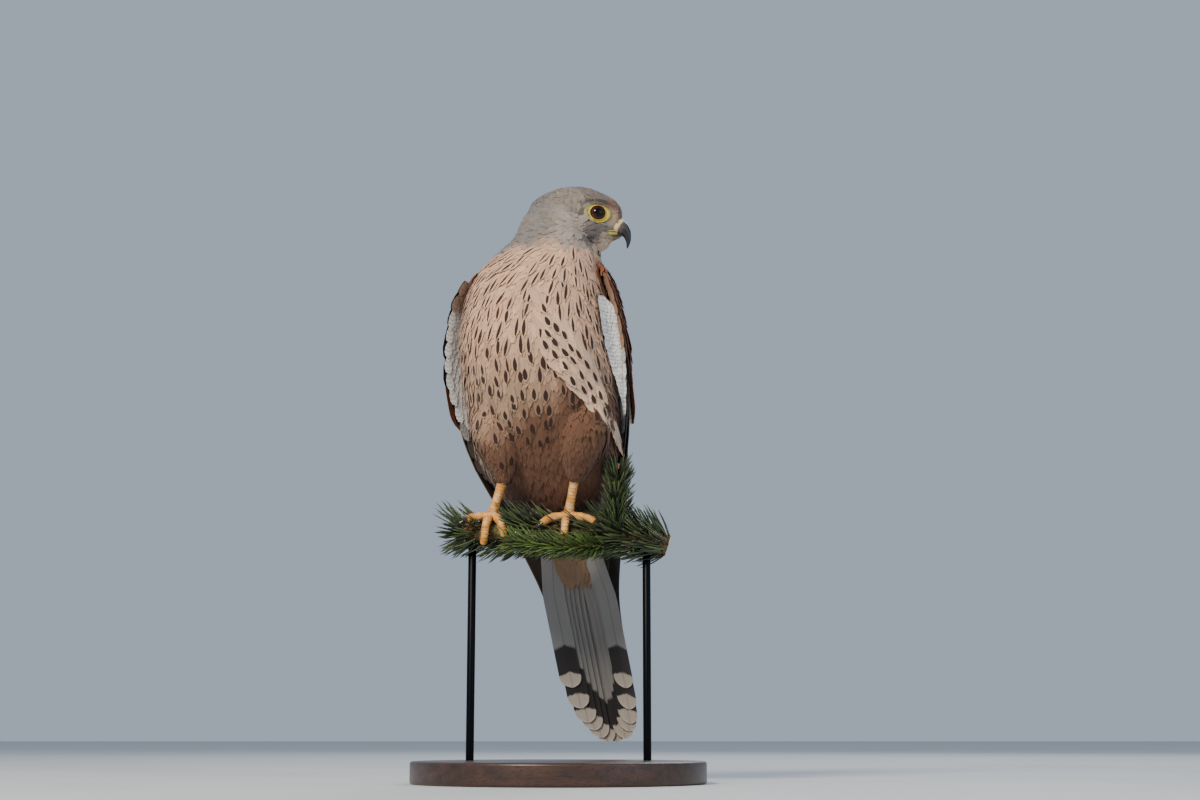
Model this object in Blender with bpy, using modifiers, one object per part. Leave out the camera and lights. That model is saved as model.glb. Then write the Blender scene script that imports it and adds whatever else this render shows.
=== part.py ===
# A life-size male common kestrel, perched on a short cut length of spruce, on a plain display stand.
# Sizes are in millimetres and are turned to metres when a mesh is made. World axes: +X is the viewer's
# right, -Y is towards the viewer, +Z is up, and the origin is the middle of the base's underside.
# Left and right in a name are the bird's own. The bird frame has q to the bird's left, p to its back
# and h above the perch's axis.

import math
import random

import bmesh
import bpy
import numpy as np
from mathutils import Vector
from mathutils.bvhtree import BVHTree

MM = 0.001
GAP = 0.3  # between touching nodes

# Driving dimensions of the stand and perch
BASE_RADIUS = 80.0
BASE_HEIGHT = 12.0
BASE_CHAMFER = 1.5
ROD_RADIUS = 2.2
ROD_X = 48.0
PERCH_HEIGHT = 136.0
STEM_RADIUS = 6.0
STEM_START, STEM_END = -56.0, 60.0
STEM_SAG = 0.0036
NEEDLE_LENGTH = 15.0
NEEDLE_ROOT = 0.55

# Driving dimensions of the bird
BODY_X = -11.0
BODY_YAW = math.radians(15.0)
SWING = 0.118  # how far tail and wing tips lean to the bird's left for each mm below SWING_TOP
SWING_TOP = 40.0
VANE_THICKNESS = 0.52
ARM_PLACES = 7  # points across the wing's arm
WING_ROOM = 3.9  # how far the body is hollowed under each wing
VANE_STEP = 0.84  # from one vane to the next that lies over it
TAIL_LENGTH = 136.0
TAIL_FEATHERS = 12
EYE_RADIUS = 5.6
EYE_FORWARD, EYE_SIDE, EYE_UP = 13.2, 9.4, -0.8  # from the middle of the head
EYE_SPLAY = math.radians(24.0)  # how far forward each eye looks
LID_RADIUS = 5.25
LID_THICKNESS = 1.15
SHANK_RADIUS = 3.0
TOE_RADIUS = 2.25
PAD_RADIUS = 3.1
CLAW_RADIUS = 1.45
SCUTE_RISE = 0.34  # how far the free edge of a horny plate stands up
HEAD_TURN = math.radians(12.0)  # bill towards the viewer from the viewer's right
HEAD_DROP = math.radians(4.0)

# Body sections from the vent to the nape: height, middle q, half width, front p, back p
BODY_SECTIONS = (
    (-5.0, 1.0, 7.0, 33.0, 42.0),
    (5.0, 1.0, 18.0, 20.0, 48.0),
    (20.0, 1.0, 31.0, 3.0, 51.0),
    (40.0, 1.0, 39.0, -16.0, 52.0),
    (62.0, 1.0, 42.0, -31.0, 50.5),
    (86.0, 0.0, 43.0, -40.0, 47.0),
    (108.0, -1.0, 42.5, -42.0, 41.5),
    (130.0, -1.5, 40.5, -39.0, 35.0),
    (143.0, -0.5, 38.5, -35.0, 29.5),
    (154.0, 4.0, 32.5, -29.5, 24.0),
    (164.0, 9.2, 25.0, -26.0, 17.0),
    (174.0, 10.5, 20.8, -24.5, 12.0),
    (183.0, 11.5, 16.0, -20.0, 7.0),
    (189.0, 12.0, 9.0, -14.0, 2.0),
)

# Head sections from the nape to the lores: forward, top, bottom, half width
HEAD_CENTRE = (9.5, -8.0, 314.0)
HEAD_SECTIONS = (
    (-27.5, 4.0, -6.0, 4.0),
    (-24.5, 9.0, -11.0, 9.5),
    (-18.0, 13.2, -17.5, 13.8),
    (-10.0, 16.4, -21.0, 16.2),
    (-2.0, 17.5, -22.0, 17.0),
    (6.0, 17.0, -22.0, 16.6),
    (13.0, 14.6, -20.2, 14.2),
    (18.0, 12.4, -16.6, 11.6),
    (21.5, 10.4, -12.6, 9.0),
    (24.2, 7.4, -9.2, 6.2),
    (25.8, 3.2, -5.6, 3.4),
)

# Upper bill from the forehead to the hook: forward, up, slope in degrees, half height, half width
BILL_SECTIONS = (
    (18.0, -3.8, -3.0, 5.4, 5.3),
    (22.5, -4.2, -8.0, 5.2, 4.9),
    (26.0, -5.4, -25.0, 4.5, 4.2),
    (28.3, -7.4, -48.0, 3.4, 3.2),
    (29.6, -9.8, -70.0, 2.3, 2.2),
    (30.4, -13.2, -86.0, 1.35, 1.2),
    (30.1, -17.2, -96.0, 0.35, 0.35),
)
LOWER_BILL_SECTIONS = (
    (15.0, -9.9, 2.4, 4.2),
    (20.0, -9.9, 2.2, 3.8),
    (24.5, -9.7, 1.7, 2.9),
    (27.6, -9.5, 0.6, 1.4),
)

# The bony ridge over each eye: forward, out, up, radius
BROW_LINE = np.array(
    [(23.0, 5.8, 4.0, 0.5), (19.5, 8.2, 5.0, 1.5), (14.5, 10.6, 5.5, 1.9), (9.0, 12.6, 5.0, 1.6), (4.0, 14.6, 3.4, 0.5)]
)

# The lips of the gape on each side, from the bill back under the eye: forward, out, up
LIP_RADIUS = 0.75
MOUTH_LINES = (
    ("lip_upper", np.array([(23.5, 4.6, -8.3), (20.5, 7.0, -8.9), (17.0, 8.8, -10.0), (13.8, 10.4, -11.6)])),
    ("lip_lower", np.array([(23.0, 4.4, -10.2), (20.0, 6.6, -10.8), (16.6, 8.6, -11.9), (13.6, 10.3, -12.9)])),
)

# Wing sections from shoulder to tip: height, leading edge q and p, crown of the curve q and p, inner edge q and p
WING_SECTIONS = (
    (152.0, 35.0, -8.0, 33.0, 18.0, 11.0, 21.0),
    (146.0, 41.0, -12.0, 38.0, 22.0, 8.0, 27.0),
    (130.0, 47.0, -15.0, 42.0, 30.0, 5.0, 38.0),
    (108.0, 51.0, -12.0, 42.0, 36.0, 4.0, 46.0),
    (88.0, 51.5, -8.0, 40.5, 39.5, 4.0, 50.0),
    (66.0, 48.5, 3.0, 38.0, 42.5, 4.0, 53.5),
    (44.0, 43.0, 16.0, 35.0, 47.0, 4.0, 55.5),
    (20.0, 35.0, 30.0, 29.0, 51.0, 4.0, 57.0),
    (-6.0, 26.5, 44.0, 22.0, 57.0, 4.0, 61.0),
    (-32.0, 19.5, 55.0, 16.5, 63.0, 4.0, 66.5),
    (-58.0, 17.5, 64.5, 14.5, 70.0, 4.0, 73.0),
    (-84.0, 18.0, 73.5, 14.0, 78.0, 4.0, 80.0),
)

# The shoot along the perch's front, and buds on the stem, in world millimetres
FRONT_SHOOT = (
    (27.0, -3.5, 128.5),
    (17.0, -10.5, 127.0),
    (4.0, -13.6, 126.6),
    (-12.0, -14.2, 127.6),
    (-27.0, -13.6, 129.6),
)
BUDS = ((-12.0, -5.2, 131.6), (38.0, -4.6, 129.2), (-50.0, -3.8, 138.2))
BUD_RADIUS = 2.4
BUD_HEADING = (-0.55, -0.62, 0.56)
GOLDEN_ANGLE = 2.39996

# Tail feathers by rank from the middle: how much shorter than the longest, and where the middle line lies
# across the tail, for the bird's left and then for its right
TAIL_RANKS = (
    (0.0, 4.5, -1.0),
    (3.0, 10.6, -4.0),
    (8.0, 14.2, -6.8),
    (13.0, 16.0, -9.6),
    (22.0, 17.4, -11.8),
    (35.0, 18.0, -13.8),
)

# Thigh sections from the belly to the ankle, in world x and y and height over the perch: x, y, height, half sizes
THIGH_SECTIONS = {
    1: (
        (17.0, -8.0, 84.0, 9.0, 9.0),
        (15.5, -14.5, 72.0, 14.5, 13.5),
        (14.0, -17.5, 56.0, 15.0, 14.0),
        (12.0, -15.5, 43.0, 12.0, 11.5),
        (9.8, -11.0, 33.0, 7.2, 7.2),
        (8.8, -8.6, 28.0, 4.6, 4.8),
    ),
    -1: (
        (-32.0, 2.0, 84.0, 9.0, 9.0),
        (-33.5, -4.0, 72.0, 14.0, 13.5),
        (-34.0, -8.0, 56.0, 14.5, 13.5),
        (-33.0, -8.5, 43.0, 11.5, 11.0),
        (-31.5, -7.5, 33.0, 7.0, 7.0),
        (-30.8, -6.6, 27.0, 4.6, 4.8),
    ),
}

# Feet: where the pad sits along the stem, and each toe's end and claw tip as angle round the stem and x
FEET = {
    1: {
        "pad": 4.7,
        "toes": (("inner", 64.0, -9.5, 92.0, -14.5), ("middle", 138.0, 2.6, 186.0, 2.0)),
        "more": (("outer", 60.0, 19.5, 86.0, 25.0), ("hind", -92.0, 6.5, -140.0, 7.0)),
    },
    -1: {
        "pad": -37.4,
        "toes": (("outer", 44.0, -51.0, 74.0, -56.5), ("middle", 138.0, -41.5, 186.0, -42.5)),
        "more": (("inner", 112.0, -30.0, 160.0, -28.5), ("hind", -92.0, -36.0, -140.0, -35.5)),
    },
}


def clear_scene():
    for found in list(bpy.data.objects):
        bpy.data.objects.remove(found, do_unlink=True)
    for found in list(bpy.data.collections):
        bpy.data.collections.remove(found)


def new_collection(name):
    made = bpy.data.collections.new(name)
    bpy.context.scene.collection.children.link(made)
    return made


def finish_material(name, colour, roughness, metallic=0.0):
    """A Principled material of that name, made once."""
    made = bpy.data.materials.get(name)
    if made is None:
        made = bpy.data.materials.new(name)
        made.use_nodes = True
        shader = made.node_tree.nodes["Principled BSDF"]
        shader.inputs["Base Color"].default_value = (*colour, 1.0)
        shader.inputs["Roughness"].default_value = roughness
        shader.inputs["Metallic"].default_value = metallic
        made.diffuse_color = (*colour, 1.0)
    return made


def mesh_object(name, points, faces, into):
    """A closed mesh object from points in millimetres, in world axes, with its faces turned outwards."""
    mesh = bpy.data.meshes.new(name)
    mesh.from_pydata((np.asarray(points, float) * MM).tolist(), [], [list(map(int, f)) for f in faces])
    shell = bmesh.new()
    shell.from_mesh(mesh)
    bmesh.ops.recalc_face_normals(shell, faces=shell.faces)
    shell.to_mesh(mesh)
    shell.free()
    mesh.update()
    made = bpy.data.objects.new(name, mesh)
    into.objects.link(made)
    return made


def dress(piece, material, smooth_angle=50.0):
    piece.data.materials.clear()
    piece.data.materials.append(material)
    piece.data.shade_smooth()
    piece.data.set_sharp_from_angle(angle=math.radians(smooth_angle))


def curve_through(table, steps):
    """Rows read at evenly spaced places along a smooth curve through the rows of a table."""
    rows = np.asarray(table, float)
    last = len(rows) - 1
    slopes = np.gradient(rows, axis=0)
    place = np.linspace(0.0, last, steps)
    low = np.minimum(place.astype(int), last - 1)
    f = (place - low)[:, None]
    a, b, da, db = rows[low], rows[low + 1], slopes[low], slopes[low + 1]
    return (
        a * (2 * f**3 - 3 * f**2 + 1)
        + da * (f**3 - 2 * f**2 + f)
        + b * (3 * f**2 - 2 * f**3)
        + db * (f**3 - f**2)
    )


def loft(name, rings, into):
    """A closed skin over rings of points, each ring of one length, with flat ends."""
    rings = np.asarray(rings, float)
    count, sides = rings.shape[:2]
    faces = []
    for i in range(count - 1):
        for j in range(sides):
            k = (j + 1) % sides
            faces.append((i * sides + j, i * sides + k, (i + 1) * sides + k, (i + 1) * sides + j))
    faces.append(tuple(range(sides))[::-1])
    faces.append(tuple((count - 1) * sides + j for j in range(sides)))
    return mesh_object(name, rings.reshape(-1, 3), faces, into)


def tube(name, path, radii, sides, into):
    """A round skin along a path. Radii are one number, one for each place, or one for each point."""
    path = np.asarray(path, float)
    radii = np.asarray(radii, float)
    if radii.ndim < 2:
        radii = np.broadcast_to(radii, len(path))[:, None]
    along = np.gradient(path, axis=0)
    along /= np.linalg.norm(along, axis=1)[:, None]
    side = np.cross(along, (0.0, 0.0, 1.0))
    weak = np.linalg.norm(side, axis=1) < 0.2
    side[weak] = np.cross(along[weak], (0.0, 1.0, 0.0))
    for i in range(1, len(side)):
        if side[i] @ side[i - 1] < 0:
            side[i] = -side[i]
    side /= np.linalg.norm(side, axis=1)[:, None]
    up = np.cross(side, along)
    turn = np.linspace(0.0, 2 * math.pi, sides, endpoint=False)[None, :, None]
    rings = path[:, None] + radii[:, :, None] * (np.cos(turn) * side[:, None] + np.sin(turn) * up[:, None])
    return loft(name, rings, into)


def scuted(name, path_of, radius_of, plates, facing, sides, into):
    """A toe or shank with a row of horny plates down one face: each rises to a free edge, then steps down."""
    edges = np.linspace(0.0, 1.0, plates + 1)
    step = 0.1 / plates
    w = np.sort(np.concatenate([edges[:-1] + step / 2, edges[1:] - step / 2]))
    rise = np.tile([0.0, SCUTE_RISE], plates)
    turn = np.linspace(0.0, 2 * math.pi, sides, endpoint=False)
    face = np.sqrt(np.maximum(0.0, facing * np.sin(turn)))
    return tube(name, path_of(w), radius_of(w)[:, None] + rise[:, None] * face, sides, into)


def box(name, middle, half_sizes, axes, into):
    """A cutter box with its own axes, given as three unit rows."""
    corners = np.array([[i, j, k] for i in (-1, 1) for j in (-1, 1) for k in (-1, 1)], float)
    points = np.asarray(middle, float) + (corners * half_sizes) @ np.asarray(axes, float)
    faces = ((0, 1, 3, 2), (4, 6, 7, 5), (0, 4, 5, 1), (2, 3, 7, 6), (0, 2, 6, 4), (1, 5, 7, 3))
    return mesh_object(name, points, faces, into)


def combine(target, others, operation, solver="MANIFOLD"):
    """Applies one Boolean between the target and a collection of the others, which are then removed."""
    group = new_collection(target.name + "_operands")
    for other in others:
        for holder in list(other.users_collection):
            holder.objects.unlink(other)
        group.objects.link(other)
    modifier = target.modifiers.new("join", "BOOLEAN")
    modifier.operation = operation
    modifier.operand_type = "COLLECTION"
    modifier.collection = group
    modifier.solver = solver
    graph = bpy.context.evaluated_depsgraph_get()
    result = bpy.data.meshes.new_from_object(target.evaluated_get(graph))
    target.modifiers.clear()
    target.data = result
    for other in others:
        bpy.data.objects.remove(other, do_unlink=True)
    bpy.data.collections.remove(group)
    keep_largest(target)


def keep_largest(target):
    """Keeps only the closed surface with the largest volume, so that sealed hollows are filled."""
    shell = bmesh.new()
    shell.from_mesh(target.data)
    bmesh.ops.remove_doubles(shell, verts=shell.verts, dist=1e-7)
    bmesh.ops.triangulate(shell, faces=shell.faces)
    groups, seen = [], set()
    for start in shell.faces:
        if start in seen:
            continue
        group, waiting = [], [start]
        seen.add(start)
        while waiting:
            face = waiting.pop()
            group.append(face)
            for edge in face.edges:
                for other in edge.link_faces:
                    if other not in seen:
                        seen.add(other)
                        waiting.append(other)
        groups.append(group)
    volumes = [
        sum(f.verts[0].co.dot(f.verts[1].co.cross(f.verts[2].co)) for f in group) for group in groups
    ]
    best = volumes.index(max(volumes))
    for i, group in enumerate(groups):
        if i != best:
            bmesh.ops.delete(shell, geom=group, context="FACES")
    loose = [v for v in shell.verts if not v.link_faces]
    bmesh.ops.delete(shell, geom=loose, context="VERTS")
    shell.to_mesh(target.data)
    shell.free()


def copy_of(piece, name, into):
    made = piece.copy()
    made.data = piece.data.copy()
    made.name = name
    into.objects.link(made)
    return made


def bird(q, p, h):
    """World points from the bird frame: swung with the tail below SWING_TOP, turned, and set over the perch."""
    q, p, h = (np.asarray(v, float) for v in (q, p, h))
    q = q + SWING * np.maximum(0.0, SWING_TOP - h)
    x = BODY_X + q * math.cos(BODY_YAW) + p * math.sin(BODY_YAW)
    y = -q * math.sin(BODY_YAW) + p * math.cos(BODY_YAW)
    return np.stack([x, y, PERCH_HEIGHT + h], axis=-1)


def head_axes():
    """Unit rows: forward along the bill, to the viewer's side of the head, and up."""
    forward = np.array([math.cos(HEAD_TURN), -math.sin(HEAD_TURN), 0.0])
    side = np.array([-math.sin(HEAD_TURN), -math.cos(HEAD_TURN), 0.0])
    up = np.array([0.0, 0.0, 1.0])
    lean, rise = math.cos(HEAD_DROP), math.sin(HEAD_DROP)
    return np.array([forward * lean - up * rise, side, up * lean + forward * rise])


def on_head(forward, side, up):
    """World points from the head's own forward, side and up."""
    parts = np.stack(np.broadcast_arrays(forward, side, up), axis=-1).astype(float)
    return np.asarray(HEAD_CENTRE) + parts @ head_axes()


def oval(sides, exponent=2.3):
    """Cosine and sine of a slightly squared oval, once round."""
    turn = np.linspace(0.0, 2 * math.pi, sides, endpoint=False)
    c, s = np.cos(turn), np.sin(turn)
    power = 2.0 / exponent
    return np.sign(c) * np.abs(c) ** power, np.sign(s) * np.abs(s) ** power


def body_rings(grow, count, sides):
    """Rings of the body from vent to nape, each grown outwards by some mm."""
    rows = curve_through(BODY_SECTIONS, count)
    c, s = oval(sides)
    rings = []
    for h, middle, half, front, back in rows:
        q = middle + (half + grow) * c
        p = (front + back) / 2 + ((back - front) / 2 + grow) * s
        rings.append(bird(q, p, np.full(sides, h)))
    return rings


def head_rings(grow, count, sides):
    rows = curve_through(HEAD_SECTIONS, count)
    c, s = oval(sides, 2.2)
    rings = []
    for forward, top, bottom, half in rows:
        side = (half + grow) * c
        up = (top + bottom) / 2 + ((top - bottom) / 2 + grow) * s
        rings.append(on_head(np.full(sides, forward), side, up))
    return rings


def bill_rings(grow, count, sides):
    rows = curve_through(BILL_SECTIONS, count)
    rows[0, 0] -= grow
    turn = np.linspace(0.0, 2 * math.pi, sides, endpoint=False)
    rings = []
    for forward, up, slope, tall, wide in rows:
        angle = math.radians(slope)
        lift = (tall + grow) * np.sin(turn)
        side = (wide + grow) * np.cos(turn) * (1.0 - 0.18 * np.sin(turn))
        rings.append(on_head(forward - lift * math.sin(angle), side, up + lift * math.cos(angle)))
    return rings


def lower_bill_rings(grow, count, sides):
    rows = curve_through(LOWER_BILL_SECTIONS, count)
    rows[0, 0] -= grow
    turn = np.linspace(0.0, 2 * math.pi, sides, endpoint=False)
    rings = []
    for forward, up, tall, wide in rows:
        rise = np.where(np.sin(turn) > 0, 0.45, 1.0) * (tall + grow) * np.sin(turn)
        rings.append(on_head(np.full(sides, forward), (wide + grow) * np.cos(turn), up + rise))
    return rings


def wing_point(h, t, offset, side):
    """A world point on the folded wing: h is height, t runs from leading edge to back, offset is outwards."""

    def surface(height, across):
        table = np.asarray(WING_SECTIONS)
        order = np.argsort(table[:, 0])
        heights = table[order, 0]
        row = np.clip(np.interp(height, heights, np.arange(len(heights))), 0, len(heights) - 1)
        low = np.minimum(row.astype(int), len(heights) - 2)
        f = (row - low)[..., None]
        values = table[order, 1:]
        slopes = np.gradient(values, axis=0)
        a, b, da, db = values[low], values[low + 1], slopes[low], slopes[low + 1]
        v = (
            a * (2 * f**3 - 3 * f**2 + 1)
            + da * (f**3 - 2 * f**2 + f)
            + b * (3 * f**2 - 2 * f**3)
            + db * (f**3 - f**2)
        )
        w0, w1, w2 = (1 - across) ** 2, 2 * across * (1 - across), across**2
        q = w0 * v[..., 0] + w1 * v[..., 2] + w2 * v[..., 4]
        p = w0 * v[..., 1] + w1 * v[..., 3] + w2 * v[..., 5]
        return np.stack([q, p, height], axis=-1)

    h, t, offset = (np.array(v, float) for v in np.broadcast_arrays(h, t, offset))
    step = 0.5
    here = surface(h, t)
    down = surface(h - step, t) - surface(h + step, t)
    across = surface(h, np.minimum(t + 0.01, 1.2)) - surface(h, np.maximum(t - 0.01, -0.2))
    normal = np.cross(down, across)
    normal /= np.linalg.norm(normal, axis=-1)[..., None]
    outwards = np.where(normal[..., 1:2] + 0.4 * normal[..., 0:1] < 0, -1.0, 1.0)
    out = here + outwards * normal * offset[..., None]
    return bird(side * out[..., 0], out[..., 1], out[..., 2])


def wing_width(h):
    """Arc length in mm across the wing at a height, about the same as its chord and crown allow."""
    t = np.linspace(0.0, 1.0, 9)
    line = wing_point(np.full(9, float(h)), t, 0.0, 1)
    return float(np.linalg.norm(np.diff(line, axis=0), axis=1).sum())


def vane(name, middle, normals, thickness, into):
    """A closed thin feather from a grid of points and normals, split into triangles alike on both faces."""
    rows, columns = middle.shape[:2]
    taper = np.linspace(1.0, 0.6, rows)[:, None, None]
    half = normals * thickness / 2 * taper
    upper, under = (middle + half).reshape(-1, 3), (middle - half).reshape(-1, 3)
    count = rows * columns
    faces = []
    for i in range(rows - 1):
        for j in range(columns - 1):
            a, b = i * columns + j, i * columns + j + 1
            c, d = a + columns, b + columns
            faces += [(a, b, d), (a, d, c), (count + a, count + d, count + b), (count + a, count + c, count + d)]
    rim = [i * columns for i in range(rows)]
    rim += [(rows - 1) * columns + j for j in range(1, columns)]
    rim += [i * columns + columns - 1 for i in range(rows - 2, -1, -1)]
    rim += [j for j in range(columns - 2, 0, -1)]
    for a, b in zip(rim, rim[1:] + rim[:1]):
        faces += [(a, count + a, count + b), (a, count + b, b)]
    return mesh_object(name, np.concatenate([upper, under]), faces, into)


def feather_rows(count, length, taper):
    """Places from root to tip, as shares of the length, with three rows kept for the tapered end."""
    start = 1.0 - min(0.6, taper / length)
    return np.concatenate([np.linspace(0.0, start, count - 2), [1.0 - 0.42 * (1.0 - start), 1.0]])


def feather_outline(v, blunt=0.34):
    """Share of the full width at each row: narrower at the root, full, then round to a blunt tip."""
    outline = np.minimum(1.0, 0.6 + 1.6 * v)
    outline[-2] *= 0.86
    outline[-1] *= blunt
    return outline


def wing_vane(name, side, root, tip, half_width, levels, pitch, rows, into, taper=1.1, rise=0.2):
    """A feather on the wing. Root and tip are each a height and the mm from the leading edge, and levels
    are how far out it lies there. It tilts so that the next one, a pitch further in, lies over it."""
    v = feather_rows(rows, root[0] - tip[0], taper * half_width)
    u = np.array([-1.0, 0.0, 1.0])
    h = root[0] + (tip[0] - root[0]) * v
    place = root[1] + (tip[1] - root[1]) * v
    width = np.array([wing_width(x) for x in h])
    outline = feather_outline(v)
    height = np.repeat(h[:, None], 3, axis=1)
    height[-1] += np.array([0.12, -0.12, 0.12]) * half_width
    across = (place[:, None] + half_width * outline[:, None] * u) / width[:, None]
    level = levels[0] + (levels[1] - levels[0]) * np.minimum(1.0, v / rise)
    offset = level[:, None] - VANE_STEP * half_width / pitch * outline[:, None] * u
    middle = wing_point(height, across, offset, side)
    normals = wing_point(height, across, offset + 1.0, side) - middle
    return vane(name, middle, normals, VANE_THICKNESS, into)


def wing_arm(name, side, into, inner, outer, top=148.0, bottom=58.0, spread=0.0, count=9):
    """The fleshy arm of the wing with its small coverts: a shell, thickest near the leading edge."""
    heights = np.linspace(top, bottom, count)
    places = np.linspace(-0.01 - spread, 0.97 + spread, ARM_PLACES)
    rings = []
    for i, h in enumerate(heights):
        end = math.sin(math.pi * min(1.0, (i + 0.35) / 2.2) / 2) * min(1.0, (len(heights) - 0.6 - i) / 1.6)
        thick = 0.45 + 0.55 * end
        lead = np.exp(-((places / 0.12) ** 2))
        out = wing_point(np.full(ARM_PLACES, h), places, thick * (outer - 0.9 * lead), side)
        inn = wing_point(np.full(ARM_PLACES, h), places, -thick * (inner + 1.6 * lead), side)
        rings.append(np.concatenate([out, inn[::-1]]))
    return loft(name, rings, into)


def wing_rows(side, name, into):
    """Every vane of one wing: primaries, secondaries over them, then two rows of coverts."""
    made = []

    def add(*details, **more):
        made.append(wing_vane(f"{name}_feather_{len(made)}", side, *details, into, **more))

    for k, end in enumerate((-64.0, -74.0, -70.0, -57.0, -42.0, -27.0, -12.0)):
        add((74.0, 5.5 + 2.6 * k), (end, 5.0 + 2.4 * k), 6.0, (1.0, 1.6), 2.4, 6, taper=3.0)
    for k, end in enumerate((7.0, 9.0, 14.0, 21.0, 31.0)):
        root, tip = wing_width(80.0) - 47.0 + 10.0 * k, wing_width(end) - 20.6 + 3.4 * k
        add((80.0, root), (end, tip), 7.8, (0.8, 4.9), 3.6, 5, rise=36.0 / (80.0 - end))
    for k in range(7):
        add((92.0, 5.0 + 10.0 * k), (61.0, 4.5 + 9.5 * k), 7.4, (1.0, 5.4), 9.5, 4, rise=0.8)
    for k in range(6):
        add((110.0, 5.0 + 12.6 * k), (87.0, 5.0 + 12.6 * k), 9.0, (1.0, 3.9), 12.6, 4, rise=1.0)
    return made


def build_wing(side, name, helpers, parts):
    """One folded wing: the arm with its rows of overlapping vanes."""
    arm = wing_arm(name, side, parts, 1.4, 2.4)
    combine(arm, wing_rows(side, name, helpers), "UNION")
    return arm


def tail_point(along, across, lift):
    """A world point on the tail: along runs from its root to its tip, lift is towards the bird's back."""
    along, across, lift = (np.array(v, float) for v in np.broadcast_arrays(along, across, lift))
    slope = math.radians(19.5)
    down, back = math.cos(slope), math.sin(slope)
    q = across
    p = 37.5 + along * back + lift * down
    h = 14.0 - along * down + lift * back
    return bird(q, p, h)


def tail_vane(name, rank, side, into):
    """One tail feather. Rank 0 is the middle pair, which lies over the others, and rank 5 the outermost."""
    shorter, left, right = TAIL_RANKS[rank]
    place = left if side > 0 else right
    below = 0 if side > 0 and rank == 0 else rank + 1
    length = TAIL_LENGTH - shorter
    width = 6.4 - 0.06 * rank
    v = feather_rows(5, length, 1.15 * width)
    u = np.array([-1.0, 0.0, 1.0])
    centre = place * (0.55 + 0.45 * np.minimum(1.0, 2.2 * v))
    half = width * (0.62 + 0.38 * np.minimum(1.0, 2.5 * v)) * feather_outline(v, 0.42)
    along = np.repeat(length * v[:, None], 3, axis=1)
    along[-1] += np.array([-0.8, 0.8, -0.8])
    across = centre[:, None] + half[:, None] * u
    height = -VANE_STEP * below * (0.55 + 0.45 * np.minimum(1.0, 3 * v))
    lift = height[:, None] - 0.011 * across**2
    middle = tail_point(along, across, lift)
    normals = tail_point(along, across, lift + 1.0) - middle
    return vane(name, middle, normals, VANE_THICKNESS, into)


def build_tail(helpers, parts):
    """The twelve tail feathers in one fan, with the fleshy root that they grow from."""
    stations = np.linspace(-22.0, 12.0, 5)
    rings = []
    turn = np.linspace(0.0, 2 * math.pi, 16, endpoint=False)
    for i, along in enumerate(stations):
        wide = (8.5, 10.5, 11.5, 12.0, 11.0)[i]
        tall = (3.6, 4.4, 4.6, 4.2, 2.6)[i]
        rings.append(tail_point(along, wide * np.cos(turn), -2.2 + tall * np.sin(turn)))
    root = loft("tail", rings, parts)
    pieces = []
    for rank in range(TAIL_FEATHERS // 2):
        for side in (-1, 1):
            pieces.append(tail_vane(f"tail_feather_{rank}_{side}", rank, side, helpers))
    combine(root, pieces, "UNION")
    return root


def thigh_rings(side, grow, count, sides):
    """Rings of one feathered thigh from inside the belly to the ankle."""
    rows = curve_through(THIGH_SECTIONS[side], count)
    rows[0, 2] += grow
    rows[-1, 2] -= grow
    c, s = oval(sides, 2.1)
    rings = []
    for x, y, z, wide, deep in rows:
        ring = np.stack([x + (wide + grow) * c, y + (deep + grow) * s, np.full(sides, PERCH_HEIGHT + z)], axis=-1)
        rings.append(ring)
    return rings


def round_stem(angle, x, radius):
    """A world point at an angle from the top of the stem towards the viewer, at x along it."""
    a = np.radians(angle)
    z = PERCH_HEIGHT + radius * np.cos(a)
    return np.stack(np.broadcast_arrays(x, -radius * np.sin(a), z), axis=-1)


def build_foot(side, name, helpers, parts, claws):
    """Tarsus, pad and four toes with plates down their tops, and a separate claw for each toe."""
    foot = FEET[side]
    ankle = np.array(THIGH_SECTIONS[side][-1][:3]) + (0.0, 0.0, PERCH_HEIGHT - GAP)
    pad = round_stem(4.0, foot["pad"], STEM_RADIUS + GAP + PAD_RADIUS)

    def shank_path(w):
        return ankle + (pad - ankle) * (-0.12 + 1.12 * w[:, None])

    def shank_radius(w):
        return SHANK_RADIUS - 0.55 * np.sin(math.pi * w)

    leg = scuted(name, shank_path, shank_radius, 5, -1.0, 8, parts)
    turn = np.linspace(-1.0, 1.0, 5)
    bulge = np.sqrt(np.maximum(0.06, 1.0 - turn**2))
    pad_path = np.array(pad) + np.stack([4.2 * turn, 0.0 * turn, 0.0 * turn], axis=-1)
    pieces = [tube(name + "_pad", pad_path, PAD_RADIUS * bulge, 8, helpers)]
    lift = STEM_RADIUS + GAP + TOE_RADIUS + 0.42
    for label, end_angle, end_x, claw_angle, claw_x in foot["toes"] + foot["more"]:
        start_angle = 12.0 if end_angle > 0 else -12.0
        start_x = foot["pad"] + 0.14 * (end_x - foot["pad"])

        def toe_path(w):
            angle = start_angle + (end_angle - start_angle) * w
            x = start_x + (end_x - start_x) * (w + 0.12 * np.sin(math.pi * w))
            return round_stem(angle, x, np.full(len(w), lift))

        def toe_radius(w):
            return TOE_RADIUS - 0.35 * w + 0.22 * np.cos(6 * math.pi * w) * (1 - w)

        pieces.append(scuted(f"{name}_{label}", toe_path, toe_radius, 5, 1.0, 6, helpers))
        end = toe_path(np.array([0.97, 1.0]))
        claws.append(build_claw(f"claw_{name[5:]}_{label}", end, claw_angle, claw_x, lift, parts))
    combine(leg, pieces, "UNION")
    above = ankle + (0.0, 0.0, 10.0)
    combine(leg, [box(name + "_top", above, (10.0,) * 3, np.eye(3), helpers)], "DIFFERENCE")
    return leg


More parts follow.
